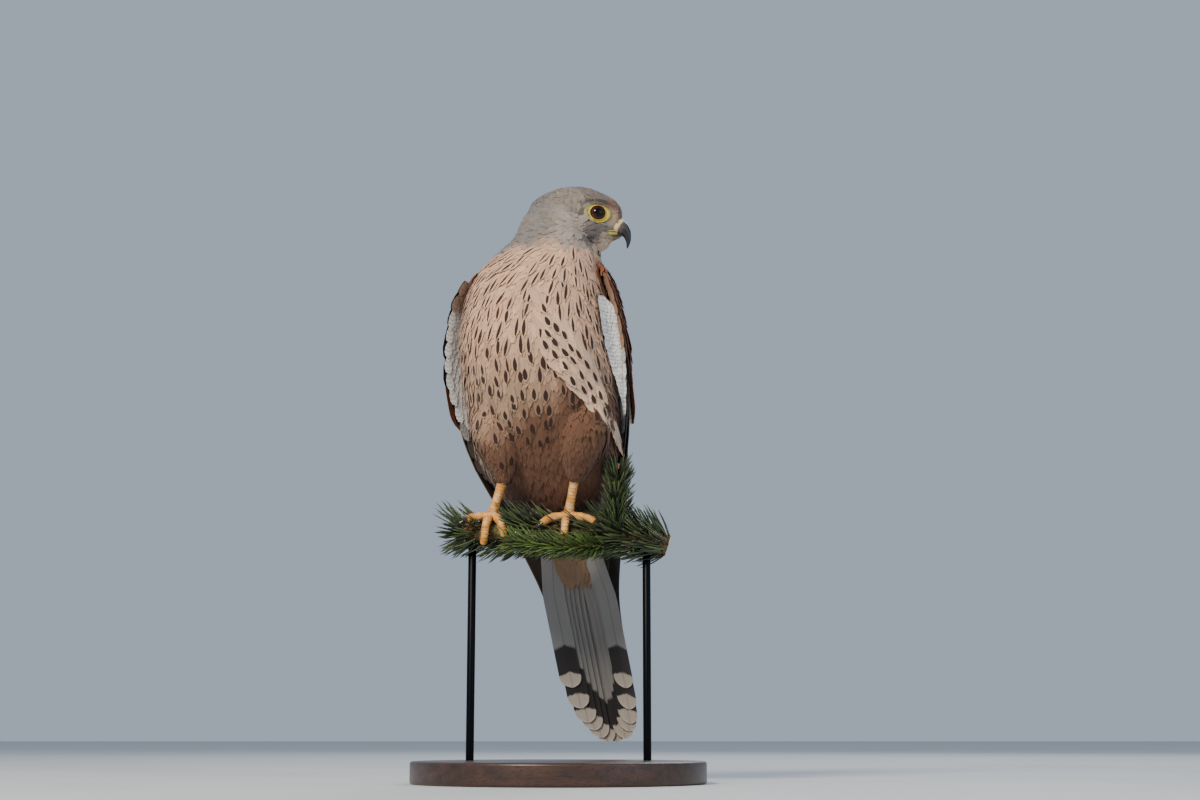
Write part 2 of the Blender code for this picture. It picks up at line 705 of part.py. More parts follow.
def shank_room(side, helpers):
    """The space that the belly leaves free round one shank."""
    ankle = np.array(THIGH_SECTIONS[side][-1][:3]) + (0.0, 0.0, PERCH_HEIGHT)
    pad = round_stem(4.0, FEET[side]["pad"], STEM_RADIUS + GAP + PAD_RADIUS)
    path = ankle + (pad - ankle) * np.linspace(-0.2, 1.4, 4)[:, None]
    return tube(f"shank_room_{side}", path, SHANK_RADIUS + SCUTE_RISE + 2 * GAP, 10, helpers)


def build_claw(name, toe_path, claw_angle, claw_x, lift, parts):
    """A curved, tapered claw that goes on from the end of its toe, round the stem."""
    heading = toe_path[-1] - toe_path[-2]
    heading /= np.linalg.norm(heading)
    start = toe_path[-1] + heading * GAP
    tip = round_stem(claw_angle, claw_x, lift - 1.2)
    reach = np.linalg.norm(tip - start)
    elbow = start + heading * 0.55 * reach
    w = np.linspace(0.0, 1.0, 6)[:, None]
    path = (1 - w) ** 2 * start + 2 * w * (1 - w) * elbow + w**2 * tip
    radii = CLAW_RADIUS * (1.0 - w[:, 0]) ** 0.75 + 0.22
    return tube(name, path, radii, 7, parts)


def stem_sag(x):
    """How far the stem's axis has dropped below the feet at x."""
    return STEM_SAG * np.maximum(0.0, x - 14.0) ** 2


def stem_radius(x):
    """The stem keeps its radius under the feet and thins towards its tip."""
    return STEM_RADIUS - 0.22 * np.maximum(0.0, -44.0 - x)


def build_perch(avoid, helpers, parts):
    """The spruce stem with a shoot that stands up, one along its front, buds, needles and a clean cut end."""
    xs = np.linspace(STEM_START, STEM_END, 13)
    radius = stem_radius(xs)
    stem_path = np.stack([xs, np.zeros_like(xs), PERCH_HEIGHT - stem_sag(xs)], axis=-1)
    stem = tube("perch_branch", stem_path, radius, 12, parts)
    rise = np.linspace(0.0, 1.0, 7)
    shoot_path = np.stack([31.0 + 1.5 * rise, -4.0 - 7.0 * rise, PERCH_HEIGHT - 3.0 + 36.0 * rise], axis=-1)
    shoot_radius = 2.4 - 0.9 * rise**2
    front_path = curve_through(FRONT_SHOOT, 9)
    front_radius = np.linspace(2.1, 1.3, 9)
    pieces = [tube("perch_shoot", shoot_path, shoot_radius, 8, helpers)]
    pieces.append(tube("perch_front", front_path, front_radius, 7, helpers))
    buds = [(spot, BUD_RADIUS) for spot in BUDS] + [(shoot_path[-1], 2.2), (front_path[-1], 1.9)]
    pieces += [bud(f"bud_{k}", spot, size, helpers) for k, (spot, size) in enumerate(buds)]
    draw = random.Random(5)
    needles = []

    def set_needles(path, radii, count, lean, length, first):
        along = np.gradient(path, axis=0)
        along /= np.linalg.norm(along, axis=1)[:, None]
        for k in range(count):
            place = (k + draw.random()) / count * (len(path) - 1 - first) + first
            low = min(int(place), len(path) - 2)
            f = place - low
            point = path[low] * (1 - f) + path[low + 1] * f
            thick = radii[low] * (1 - f) + radii[low + 1] * f
            heading = along[low] * lean
            turn = k * GOLDEN_ANGLE + draw.uniform(-0.25, 0.25)
            side = np.cross(heading, (0.0, 1.0, 0.3))
            side /= np.linalg.norm(side)
            out = math.cos(turn) * side + math.sin(turn) * np.cross(side, heading)
            slant = math.radians(draw.uniform(42.0, 62.0))
            run = length * draw.uniform(0.8, 1.08)
            root_heading = heading * math.cos(slant) + out * math.sin(slant)
            tip_heading = heading * math.cos(slant - 0.35) + out * math.sin(slant - 0.35)
            root = point + out * (thick - 1.3)
            middle = root + root_heading * run * 0.5
            end = middle + tip_heading * run * 0.5
            if clear_of(avoid, [root + out * 1.8, middle, end]):
                radii_along = [NEEDLE_ROOT, 0.95 * NEEDLE_ROOT, 0.3 * NEEDLE_ROOT]
                needles.append(tube(f"needle_{len(needles)}", [root, middle, end], radii_along, 3, helpers))

    set_needles(stem_path, radius, 40, -1.0, NEEDLE_LENGTH, 0.0)
    set_needles(shoot_path, shoot_radius, 14, 1.0, NEEDLE_LENGTH * 0.8, 1.6)
    set_needles(front_path, front_radius, 10, 1.0, NEEDLE_LENGTH * 0.7, 1.8)
    combine(stem, pieces + needles, "UNION")
    return stem


def bud(name, spot, radius, into):
    """A scaly winter bud, a little longer than wide."""
    w = np.linspace(-1.0, 1.0, 6)
    swell = np.sqrt(np.maximum(0.05, 1.0 - w**2)) * (1.0 - 0.25 * w)
    path = np.asarray(spot) + np.outer(w * radius * 1.3, BUD_HEADING)
    return tube(name, path, radius * swell, 7, into)


def clear_of(trees, points, distance=1.3):
    """True if the line through the points keeps this many mm from every tree of the other nodes."""
    for a, b in zip(points, points[1:]):
        for share in (0.0, 0.25, 0.5, 0.75, 1.0):
            spot = Vector((np.asarray(a) * (1 - share) + np.asarray(b) * share) * MM)
            if any(tree.find_nearest(spot, distance * MM)[0] is not None for tree in trees):
                return False
    return True


def tree_of(piece):
    piece.data.calc_loop_triangles()
    points = [v.co.copy() for v in piece.data.vertices]
    return BVHTree.FromPolygons(points, [tuple(t.vertices) for t in piece.data.loop_triangles])


def ball(name, middle, radius, into, segments=14, rings=8):
    shell = bmesh.new()
    bmesh.ops.create_uvsphere(shell, u_segments=segments, v_segments=rings, radius=radius)
    points = np.array([v.co[:] for v in shell.verts])
    faces = [[v.index for v in f.verts] for f in shell.faces]
    shell.free()
    return mesh_object(name, points @ head_axes() + middle, faces, into)


def ring_round(name, middle, axis, major, minor, into, segments=20, sides=6):
    """A torus about an axis: the bare eyelids round an eye."""
    bpy.ops.mesh.primitive_torus_add(
        major_segments=segments,
        minor_segments=sides,
        major_radius=major * MM,
        minor_radius=minor * MM,
    )
    made = bpy.context.object
    made.name = name
    turn = Vector(axis).to_track_quat("Z", "Y").to_matrix().to_4x4()
    turn.translation = Vector(middle) * MM
    made.data.transform(turn)
    for holder in list(made.users_collection):
        holder.objects.unlink(made)
    into.objects.link(made)
    return made


def eye_place(side):
    """Middle of an eyeball and the way it looks, in world axes."""
    middle = on_head(EYE_FORWARD, side * EYE_SIDE, EYE_UP)
    axes = head_axes()
    looks = axes[0] * math.sin(EYE_SPLAY) + axes[1] * side * math.cos(EYE_SPLAY)
    return middle, looks


def build_head_and_body(helpers, parts):
    """The whole body and head as one skin, parted by thin cuts into head, neck and torso."""
    whole = loft("whole", body_rings(0.0, 17, 18), helpers)
    skull = loft("skull", head_rings(0.0, 14, 18), helpers)
    combine(whole, [skull], "UNION")
    names = ("head", "neck", "torso")
    cuts = ((bird(11.0, -8.0, 160.0), 0.0, 0.35), (bird(0.0, -2.0, 143.0), 0.0, 0.05))
    pieces = {}
    for i, name in enumerate(names):
        piece = copy_of(whole, name, parts)
        cutters = []
        for k, (middle, lean_y, lean_x) in enumerate(cuts):
            up = np.array([lean_x, lean_y, 1.0])
            up /= np.linalg.norm(up)
            side = np.cross(up, (0.0, 1.0, 0.0))
            side /= np.linalg.norm(side)
            axes = np.array([side, np.cross(up, side), up])
            keeps_above = i <= k
            reach = 200.0
            shift = (reach - GAP / 2) * (-1.0 if keeps_above else 1.0)
            if (i == 0 and k == 1) or (i == 2 and k == 0):
                continue
            cutters.append(box(f"cut_{name}_{k}", middle + up * shift, (reach, reach, reach), axes, helpers))
        combine(piece, cutters, "DIFFERENCE")
        pieces[name] = piece
    bpy.data.objects.remove(whole, do_unlink=True)
    return pieces


def build_eyes(head, helpers, parts):
    eyes = []
    lids, sockets = [], []
    for side, label in ((1, "right"), (-1, "left")):
        middle, looks = eye_place(side)
        lids.append(ring_round(f"lid_{label}", middle + looks * 3.5, looks, LID_RADIUS, LID_THICKNESS, helpers))
        brow = on_head(BROW_LINE[:, 0], side * BROW_LINE[:, 1], BROW_LINE[:, 2])
        lids.append(tube(f"brow_{label}", brow, BROW_LINE[:, 3], 8, helpers))
        for name, path in MOUTH_LINES:
            line = on_head(path[:, 0], side * path[:, 1], path[:, 2])
            lids.append(tube(f"{name}_{label}", line, LIP_RADIUS * np.array([1.0, 1.0, 0.9, 0.5]), 6, helpers))
        sockets.append(ball(f"socket_{label}", middle, EYE_RADIUS + GAP, helpers))
        eyes.append(ball(f"eye_{label}", middle, EYE_RADIUS, parts))
    combine(head, lids, "UNION")
    combine(head, sockets, "DIFFERENCE")
    return eyes


def build_bill(head, helpers, parts):
    """Cere with two nostrils, hooked upper bill with its tooth, and the lower bill under the mouth line."""
    combine(
        head,
        [
            loft("bill_room", bill_rings(GAP, 13, 16), helpers),
            loft("lower_bill_room", lower_bill_rings(GAP, 6, 14), helpers),
        ],
        "DIFFERENCE",
    )
    axes = head_axes()
    slope = math.atan2(-8.6, 5.6)
    along = axes[0] * math.cos(slope) * -1.0 - axes[2] * math.sin(slope) * -1.0
    front = axes[0] * -math.sin(slope) - axes[2] * math.cos(slope)
    frame = np.array([front, axes[1], along])
    middle = on_head(26.0, 0.0, -5.2)
    reach = 30.0
    cere = loft("cere", bill_rings(0.12, 13, 16), parts)
    upper = loft("bill_upper", bill_rings(0.0, 15, 16), parts)
    step = reach - GAP / 2
    combine(cere, [box("cut_cere", middle + front * step, (reach,) * 3, frame, helpers)], "DIFFERENCE")
    combine(upper, [box("cut_upper", middle - front * step, (reach,) * 3, frame, helpers)], "DIFFERENCE")
    combine(upper, [bill_tooth(side, 0.0, helpers) for side in (1, -1)], "UNION")
    nostrils = []
    for side in (1, -1):
        hole = on_head(24.0, side * 4.5, -3.4)
        path = [hole - axes[1] * side * 1.0, hole + axes[1] * side * 2.0]
        nostrils.append(tube(f"nostril_{side}", path, 0.85, 10, helpers))
    combine(cere, nostrils, "DIFFERENCE")
    lower = loft("bill_lower", lower_bill_rings(0.0, 9, 14), parts)
    rooms = [loft("upper_room", bill_rings(GAP + 0.12, 13, 16), helpers)]
    rooms += [bill_tooth(side, GAP, helpers) for side in (1, -1)]
    combine(lower, rooms, "DIFFERENCE")
    return cere, upper, lower


def bill_tooth(side, grow, into):
    """The notch-and-tooth of a falcon's bill: a short blunt point on each cutting edge behind the hook."""
    path = on_head(np.array([27.9, 28.1, 28.2]), side * np.array([2.1, 2.0, 1.8]), np.array([-8.6, -10.6, -11.8 - grow]))
    return tube(f"tooth_{side}", path, np.array([1.05, 0.85, 0.3]) + grow, 7, into)


def cylinder(name, middle, radius, height, segments, into):
    shell = bmesh.new()
    bmesh.ops.create_cone(
        shell,
        cap_ends=True,
        segments=segments,
        radius1=radius * MM,
        radius2=radius * MM,
        depth=height * MM,
    )
    bmesh.ops.translate(shell, verts=shell.verts, vec=Vector(middle) * MM)
    mesh = bpy.data.meshes.new(name)
    shell.to_mesh(mesh)
    shell.free()
    made = bpy.data.objects.new(name, mesh)
    into.objects.link(made)
    return made


def build_stand(parts):
    """A turned base with two rods that end just under the stem."""
    base = cylinder("stand_base", (0.0, 0.0, BASE_HEIGHT / 2), BASE_RADIUS, BASE_HEIGHT, 44, parts)
    edge = base.modifiers.new("edge", "BEVEL")
    edge.width = BASE_CHAMFER * MM
    edge.segments = 2
    edge.limit_method = "ANGLE"
    edge.angle_limit = math.radians(60.0)
    made = [base]
    for x, label in ((-ROD_X, "right"), (ROD_X, "left")):
        ends = np.array([x - ROD_RADIUS, x + ROD_RADIUS])
        top = float(np.min(PERCH_HEIGHT - stem_sag(ends) - stem_radius(ends))) - GAP
        low = BASE_HEIGHT + GAP
        made.append(cylinder(f"stand_rod_{label}", (x, 0.0, (low + top) / 2), ROD_RADIUS, top - low, 16, parts))
    return made


def main():
    clear_scene()
    parts = new_collection("common_kestrel")
    helpers = new_collection("cutters")
    finish = {
        "grey_plumage": finish_material("grey_plumage", (0.30, 0.29, 0.28), 0.8),
        "buff_plumage": finish_material("buff_plumage", (0.62, 0.42, 0.28), 0.8),
        "rufous_plumage": finish_material("rufous_plumage", (0.36, 0.15, 0.06), 0.75),
        "tail_plumage": finish_material("tail_plumage", (0.26, 0.26, 0.27), 0.75),
        "yellow_skin": finish_material("yellow_skin", (0.85, 0.45, 0.05), 0.5),
        "dark_horn": finish_material("dark_horn", (0.03, 0.03, 0.035), 0.3),
        "eye": finish_material("eye", (0.02, 0.01, 0.008), 0.05),
        "spruce": finish_material("spruce", (0.07, 0.11, 0.04), 0.7),
        "base_wood": finish_material("base_wood", (0.06, 0.04, 0.03), 0.5),
        "rod_metal": finish_material("rod_metal", (0.05, 0.05, 0.05), 0.35, 1.0),
    }
    body = build_head_and_body(helpers, parts)
    tail = build_tail(helpers, parts)
    claws = []
    thighs, feet, wings, rooms, wing_rooms = [], [], [], [], []
    for side, label in ((1, "left"), (-1, "right")):
        thighs.append(loft(f"thigh_{label}", thigh_rings(side, 0.0, 9, 14), parts))
        rooms.append(loft(f"thigh_room_{label}", thigh_rings(side, GAP, 9, 14), helpers))
        feet.append(build_foot(side, f"foot_{label}", helpers, parts, claws))
        wings.append(build_wing(side, f"wing_{label}", helpers, parts))
        rooms.append(shank_room(side, helpers))
        wing_rooms.append(wing_arm(f"wing_room_{label}", side, helpers, WING_ROOM, 8.4, 149.0, -4.0, 0.045, 15))
    c, s = oval(16, 3.0)
    tail_room = []
    for along in np.linspace(-22.0 - GAP, 44.0, 6):
        fanned = min(1.0, max(0.0, (along + 6.0) / 40.0))
        tail_room.append(tail_point(along, 2.4 * fanned + (12.4 + 12.0 * fanned) * c, -2.8 + 5.6 * s))
    rooms.append(loft("tail_room", tail_room, helpers))
    for name in ("neck", "head"):
        combine(body[name], [copy_of(room, room.name + name, helpers) for room in wing_rooms], "DIFFERENCE")
    combine(body["torso"], rooms + wing_rooms, "DIFFERENCE")
    eyes = build_eyes(body["head"], helpers, parts)
    cere, upper, lower = build_bill(body["head"], helpers, parts)
    stand = build_stand(parts)
    near = [tree_of(p) for p in [*feet, *claws, *thighs, *stand, tail, body["torso"], *wings]]
    perch = build_perch(near, helpers, parts)
    for piece, label in (
        [(body["head"], "grey_plumage"), (body["neck"], "buff_plumage"), (body["torso"], "buff_plumage")]
        + [(tail, "tail_plumage"), (cere, "yellow_skin"), (upper, "dark_horn"), (lower, "dark_horn")]
        + [(p, "buff_plumage") for p in thighs]
        + [(p, "yellow_skin") for p in feet]
        + [(p, "rufous_plumage") for p in wings]
        + [(p, "dark_horn") for p in claws]
        + [(p, "eye") for p in eyes]
        + [(perch, "spruce"), (stand[0], "base_wood"), (stand[1], "rod_metal"), (stand[2], "rod_metal")]
    ):
        dress(piece, finish[label])
    bpy.data.collections.remove(helpers)


main()
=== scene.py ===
import math

import bpy
import numpy as np
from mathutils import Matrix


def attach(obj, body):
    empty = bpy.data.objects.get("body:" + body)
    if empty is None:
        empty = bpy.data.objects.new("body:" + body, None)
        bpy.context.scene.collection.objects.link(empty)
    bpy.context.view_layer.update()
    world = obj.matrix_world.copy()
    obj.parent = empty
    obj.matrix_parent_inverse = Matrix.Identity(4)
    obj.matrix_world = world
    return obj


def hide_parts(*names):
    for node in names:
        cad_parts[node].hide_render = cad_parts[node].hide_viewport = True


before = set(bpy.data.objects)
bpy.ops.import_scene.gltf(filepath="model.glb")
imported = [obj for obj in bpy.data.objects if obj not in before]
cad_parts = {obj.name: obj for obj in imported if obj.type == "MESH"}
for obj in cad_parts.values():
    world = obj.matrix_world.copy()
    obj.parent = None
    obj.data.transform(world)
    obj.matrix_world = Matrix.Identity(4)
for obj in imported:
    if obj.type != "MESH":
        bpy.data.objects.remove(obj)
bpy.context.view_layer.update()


# 1. Display base
# A disc of beech, turned on a lathe with its top edge and foot eased, stained dark walnut and rubbed with
# wax. The rods and the bird stand in its top face.

MM = 0.001
BASE_RADIUS = 80.0
BASE_HEIGHT = 12.0
BASE_EASE = 1.5
BASE_SIDES, BASE_CREASE = 160, 50.0
BASE_DARK = "#2a1a12"
BASE_LIGHT = "#4a2f20"
BASE_FLECK = "#1c110c"


def linear(code):
    """sRGB hex to linear colour: c / 12.92 when c is small, else ((c + 0.055) / 1.055) to the power 2.4."""
    c = np.array([int(code[i : i + 2], 16) for i in (1, 3, 5)]) / 255.0
    return np.append(np.where(c <= 0.04045, c / 12.92, ((c + 0.055) / 1.055) ** 2.4), 1.0)


def feed(node, inputs):
    """Gives a node its inputs, by name or in order, each from a value, a socket, or a node's first output."""
    for key, value in inputs.items() if isinstance(inputs, dict) else enumerate(inputs):
        if isinstance(value, bpy.types.Node):
            value = value.outputs[0]
        if isinstance(value, bpy.types.NodeSocket):
            node.id_data.links.new(value, node.inputs[key])
        else:
            node.inputs[key].default_value = value


def new_finish(name, **sockets):
    """A material and its Principled shader, whose plain sockets are set by name, with _ for a space."""
    made = bpy.data.materials.new(name)
    made.use_nodes = True
    shader = made.node_tree.nodes["Principled BSDF"]
    feed(shader, {key.replace("_", " "): value for key, value in sockets.items()})
    return made, made.node_tree, shader


def add(tree, kind, inputs=None, stops=None, **settings):
    """Adds a shader node of a kind with its settings and its inputs. Stops are the places and colours or
    greys of a ramp."""
    made = tree.nodes.new("ShaderNode" + kind)
    for key, value in settings.items():
        setattr(made, key, value)
    feed(made, inputs or {})
    if stops:
        ramp = made.color_ramp
        while len(ramp.elements) < len(stops):
            ramp.elements.new(1.0)
        for element, (place, shade) in zip(ramp.elements, stops):
            element.position = place
            element.color = linear(shade) if isinstance(shade, str) else (shade, shade, shade, 1.0)
    return made


def points_at(x, y, z):
    """Points from their x, y and z, which may be arrays of unlike shapes or single numbers."""
    return np.stack(np.broadcast_arrays(x, y, z), axis=-1).astype(float)


def once_round(count):
    """Angles of a full turn in even steps."""
    return np.linspace(0.0, 2 * math.pi, count, endpoint=False)


def outwards(points, faces):
    """Faces that point outwards: turned round where the signed volume, a sum of a . (b x c) over their
    triangles, is negative."""
    core = points - points.mean(axis=0)
    volume = 0.0
    for group in faces:
        for k in range(1, group.shape[1] - 1):
            a, b, c = (core[group[:, corner]] for corner in (0, k, k + 1))
            volume += np.einsum("ij,ij->", a, np.cross(b, c))
    return [group[:, ::-1] for group in faces] if volume < 0 else faces


def mesh_piece(name, points, faces, crease=None):
    """A mesh object from points in mm and arrays of faces, smooth but for edges sharper than the crease."""
    points = np.asarray(points, float).reshape(-1, 3)
    mesh = bpy.data.meshes.new(name)
    mesh.vertices.add(len(points))
    mesh.vertices.foreach_set("co", (points * MM).astype(np.float32).ravel())
    if faces:
        faces = outwards(points, faces)
        corners = np.concatenate([group.ravel() for group in faces]).astype(np.int32)
        sizes = np.concatenate([np.full(len(group), group.shape[1]) for group in faces])
        mesh.loops.add(len(corners))
        mesh.loops.foreach_set("vertex_index", corners)
        mesh.polygons.add(len(sizes))
        mesh.polygons.foreach_set("loop_start", np.concatenate([[0], np.cumsum(sizes)[:-1]]).astype(np.int32))
    mesh.update(calc_edges=True)
    if faces:
        mesh.shade_smooth()
        if crease:
            mesh.set_sharp_from_angle(angle=math.radians(crease))
    made = bpy.data.objects.new(name, mesh)
    bpy.context.scene.collection.objects.link(made)
    return made


def band_quads(bands, rows, columns):
    """Quads of the bands between the rows of a grid whose columns close round, and whose rows may too."""
    i, j = np.meshgrid(np.arange(bands), np.arange(columns), indexing="ij")
    k, m = (i + 1) % rows, (j + 1) % columns
    quads = np.stack([i * columns + j, i * columns + m, k * columns + m, k * columns + j], axis=-1)
    return quads.reshape(-1, 4)


def round_faces(rows, columns, first):
    """Quads of a grid whose columns close round, and fans that close its first and last rows to two more
    points, numbered after the grid's own."""
    j = np.arange(columns)
    k = (j + 1) % columns
    end = (rows - 1) * columns
    low = np.stack([np.full(columns, rows * columns), k, j], axis=-1)
    high = np.stack([np.full(columns, rows * columns + 1), end + j, end + k], axis=-1)
    return [band_quads(rows - 1, rows, columns) + first, np.concatenate([low, high]) + first]


def merged(parts):
    """Points and faces of closed skins over rings of points, each with a point in the middle of both ends,
    as one set."""
    points, faces, count = [], [], 0
    for rings in parts:
        flat = np.concatenate([rings.reshape(-1, 3), rings[:1].mean(axis=1), rings[-1:].mean(axis=1)])
        faces += round_faces(*rings.shape[:2], count)
        points.append(flat)
        count += len(flat)
    return np.concatenate(points), faces


def closed_rings(name, rings, crease=None):
    """One closed skin over rings of points."""
    return mesh_piece(name, *merged([rings]), crease)


def turned(name, profile, x, sides, crease):
    """A turned shape: each (radius, height) of a profile goes once round an upright axis at x."""
    radius, height = np.asarray(profile, float).T[:, :, None]
    turn = once_round(sides)
    return closed_rings(name, points_at(x + radius * np.cos(turn), radius * np.sin(turn), height), crease)


def show(piece, finish, slot, *nodes):
    """Gives a piece its finish, lets it ride on the model, and has it stand for the CAD nodes named."""
    piece.data.materials.clear()
    piece.data.materials.append(finish)
    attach(piece, "root")
    if nodes:
        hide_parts(*nodes)
    return piece


def eased_edge(radius, height, ease, steps, foot):
    """A quarter round at the foot or the top of an edge: radius - ease (1 - sin w) and height + or - ease
    (1 - cos w), for w from 0 to 90 degrees."""
    w = np.linspace(0.0, math.pi / 2, steps)
    inwards = 1 if foot else -1
    out = np.stack([radius - ease * (1 - np.sin(w)), height + inwards * ease * (1 - np.cos(w))], axis=-1)
    return out[::inwards]


# Beech in a dark walnut stain under wax: fine long grain with short flecks, and a soft low sheen.
walnut, tree, shader = new_finish("stained_beech_waxed", Roughness=0.42, Coat_Weight=0.25, Coat_Roughness=0.3)
where = add(tree, "TexCoord").outputs["Object"]
along = add(tree, "Mapping", {"Vector": where, "Scale": (14.0, 120.0, 120.0)})
rings = add(tree, "TexNoise", {"Vector": along, "Scale": 2.2, "Detail": 6.0, "Distortion": 0.6})
grain = add(tree, "Mapping", {"Vector": where, "Scale": (90.0, 1600.0, 1600.0)})
pores = add(tree, "TexNoise", {"Vector": grain, "Scale": 1.0, "Detail": 3.0})
tone = add(tree, "ValToRGB", {"Fac": rings}, stops=[(0.3, BASE_DARK), (0.7, BASE_LIGHT)])
fleck = add(tree, "ValToRGB", {"Fac": pores}, stops=[(0.52, 0.0), (0.68, 1.0)])
wood = add(tree, "MixRGB", {"Fac": fleck, "Color1": tone, "Color2": linear(BASE_FLECK)})
dents = add(tree, "Bump", {"Strength": 0.25, "Distance": 0.0002, "Height": pores})
feed(shader, {"Base Color": wood, "Normal": dents})

foot_edge = eased_edge(BASE_RADIUS, 0.0, BASE_EASE, 6, True)
top_edge = eased_edge(BASE_RADIUS, BASE_HEIGHT, BASE_EASE, 8, False)
base_profile = np.concatenate([[(1.0, 0.0)], foot_edge, top_edge, [(60.0, BASE_HEIGHT), (1.0, BASE_HEIGHT)]])
show(turned("display_base", base_profile, 0.0, BASE_SIDES, BASE_CREASE), walnut, "base_wood", "stand_base")


# 2. Rods
# Two straight lengths of 4.4 mm steel rod, blackened and waxed, let into the base and into the underside
# of the stem. Each has its end eased by a file.

ROD_RADIUS = 2.2
ROD_SIDES, ROD_CREASE = 32, 40.0
ROD_X = 48.0
PERCH_HEIGHT = 136.0
GAP = 0.3
STEM_RADIUS = 6.0
STEM_SAG, STEM_LEVEL_TO = 0.0036, 14.0
STEM_TAPER, STEM_TAPER_FROM = 0.22, -44.0
BLACK_OXIDE = "#17181a"


def stem_sag(x):
    """How far the stem's middle line has dropped at x: as the square of the run past its level part."""
    return STEM_SAG * np.maximum(0.0, x - STEM_LEVEL_TO) ** 2


def stem_radius(x):
    """The stem's radius at x: even, then a taper towards the tip on the viewer's left."""
    return STEM_RADIUS - STEM_TAPER * np.maximum(0.0, STEM_TAPER_FROM - x)


# Blackened steel: a dark satin skin over metal, with faint drawn lines and slightly uneven gloss.
steel, tree, shader = new_finish("blackened_steel_satin", Metallic=1.0, Base_Color=linear(BLACK_OXIDE))
where = add(tree, "TexCoord").outputs["Object"]
drawn = add(tree, "Mapping", {"Vector": where, "Scale": (2500.0, 2500.0, 40.0)})
lines = add(tree, "TexNoise", {"Vector": drawn, "Scale": 1.0, "Detail": 2.0})
gloss = add(tree, "MapRange", {"Value": lines, "To Min": 0.3, "To Max": 0.48})
feed(shader, {"Roughness": gloss})
for x, side in ((-ROD_X, "right"), (ROD_X, "left")):
    ends = np.array([x - ROD_RADIUS, x + ROD_RADIUS])
    top = float(np.min(PERCH_HEIGHT - stem_sag(ends) - stem_radius(ends))) - GAP
    low = BASE_HEIGHT + GAP / 2
    profile = [(0.4, low), (ROD_RADIUS, low), (ROD_RADIUS, top - 0.5), (ROD_RADIUS - 0.4, top), (0.4, top)]
    show(turned(f"rod_{side}", profile, x, ROD_SIDES, ROD_CREASE), steel, "rod_metal", f"stand_rod_{side}")


# 3. Perch
# A short cut length of a living spruce twig, dried and mounted: ridged olive-brown bark, a clean sloping cut
# on the viewer's right, one side shoot that stands up, one along the front, scaly buds, and needles that
# each sit on a small woody peg.

STEM_START, STEM_END = -56.0, 60.0
FRONT_SHOOT = (
    (27.0, -3.5, 128.5),
    (17.0, -10.5, 127.0),
    (4.0, -13.6, 126.6),
    (-12.0, -14.2, 127.6),
    (-27.0, -13.6, 129.6),
)
BUDS = ((-12.0, -5.2, 131.6), (38.0, -4.6, 129.2), (-50.0, -3.8, 138.2))
BARK_SHADE = "#3a2e20"
BARK_OLD = "#5b4a33"
BARK_YOUNG = "#6f6a3c"
CUT_WOOD = "#c9ae7c"
CUT_RING = "#a9855a"
BUD_BROWN = "#7c3f26"
BUD_SHADE = "#4e2417"
BUD_RIM = "#b98357"


def through(table, place):
    """Rows read at a place, counted in rows, on a smooth curve through a table: cubic Hermite between its
    rows, with half the difference of the neighbours as slope."""
    rows = np.asarray(table, float)
    place = np.clip(np.asarray(place, float), 0.0, len(rows) - 1.0)
    slopes = np.gradient(rows, axis=0)
    low = np.minimum(place.astype(int), len(rows) - 2)
    f = (place - low)[..., None]
    start = rows[low] * (2 * f**3 - 3 * f**2 + 1) + slopes[low] * (f**3 - 2 * f**2 + f)
    return start + rows[low + 1] * (3 * f**2 - 2 * f**3) + slopes[low + 1] * (f**3 - f**2)


def unit(v):
    """Vectors at a length of 1."""
    return v / np.maximum(np.linalg.norm(v, axis=-1, keepdims=True), 1e-9)


def frames_along(path):
    """Heading, side and up at each place of a path: side is level, up is square to both."""
    along = unit(np.gradient(path, axis=0))
    side = np.cross(along, (0.0, 0.0, 1.0))
    weak = np.linalg.norm(side, axis=1) < 0.2
    side[weak] = np.cross(along[weak], (0.0, 1.0, 0.0))
    flip = np.cumprod(np.where(np.einsum("ij,ij->i", side[1:], side[:-1]) < 0, -1.0, 1.0))
    side[1:] *= flip[:, None]
    side = unit(side)
    return along, side, np.cross(side, along)


def tube_rings(path, radii):
    """Rings of a tube: path + radius (cos w side + sin w up), with radii one for each ring and point."""
    _, side, up = frames_along(path)
    w = once_round(radii.shape[1])[None, :, None]
    return path[:, None] + radii[..., None] * (np.cos(w) * side[:, None] + np.sin(w) * up[:, None])


def barked(path, radius, sides, ridge, pitch):
    """Radii of a twig with leaf cushions: ridge times the cube of a wave that winds round it at a pitch, with
    finer waves and slow knots added."""
    run = np.concatenate([[0.0], np.cumsum(np.linalg.norm(np.diff(path, axis=0), axis=1))])[:, None]
    w = once_round(sides)[None]
    wave = 0.5 + 0.5 * np.cos(5 * w + 2 * math.pi * run / pitch)
    cushions = wave**3 + 0.35 * np.sin(3 * w + run * 2.2)
    knots = 0.25 * np.sin(0.37 * run + 2 * w) + 0.18 * np.sin(0.9 * run - w)
    return radius[:, None] - ridge + ridge * cushions + ridge * knots


xs = np.linspace(STEM_START, STEM_END, 190)
stem_path = points_at(xs, 0.0, PERCH_HEIGHT - stem_sag(xs))
stem_rings = tube_rings(stem_path, barked(stem_path, stem_radius(xs), 48, 0.5, 7.0))
stem = closed_rings("perch_stem", stem_rings, 60.0)

rise = np.linspace(0.0, 1.0, 60)
shoot_path = points_at(31.0 + 1.5 * rise, -4.0 - 7.0 * rise, PERCH_HEIGHT - 3.0 + 36.0 * rise)
shoot_radius = 2.3 - 0.9 * rise**2
front_path = through(FRONT_SHOOT, np.linspace(0.0, 4.0, 80))
front_radius = np.linspace(2.0, 1.2, 80)

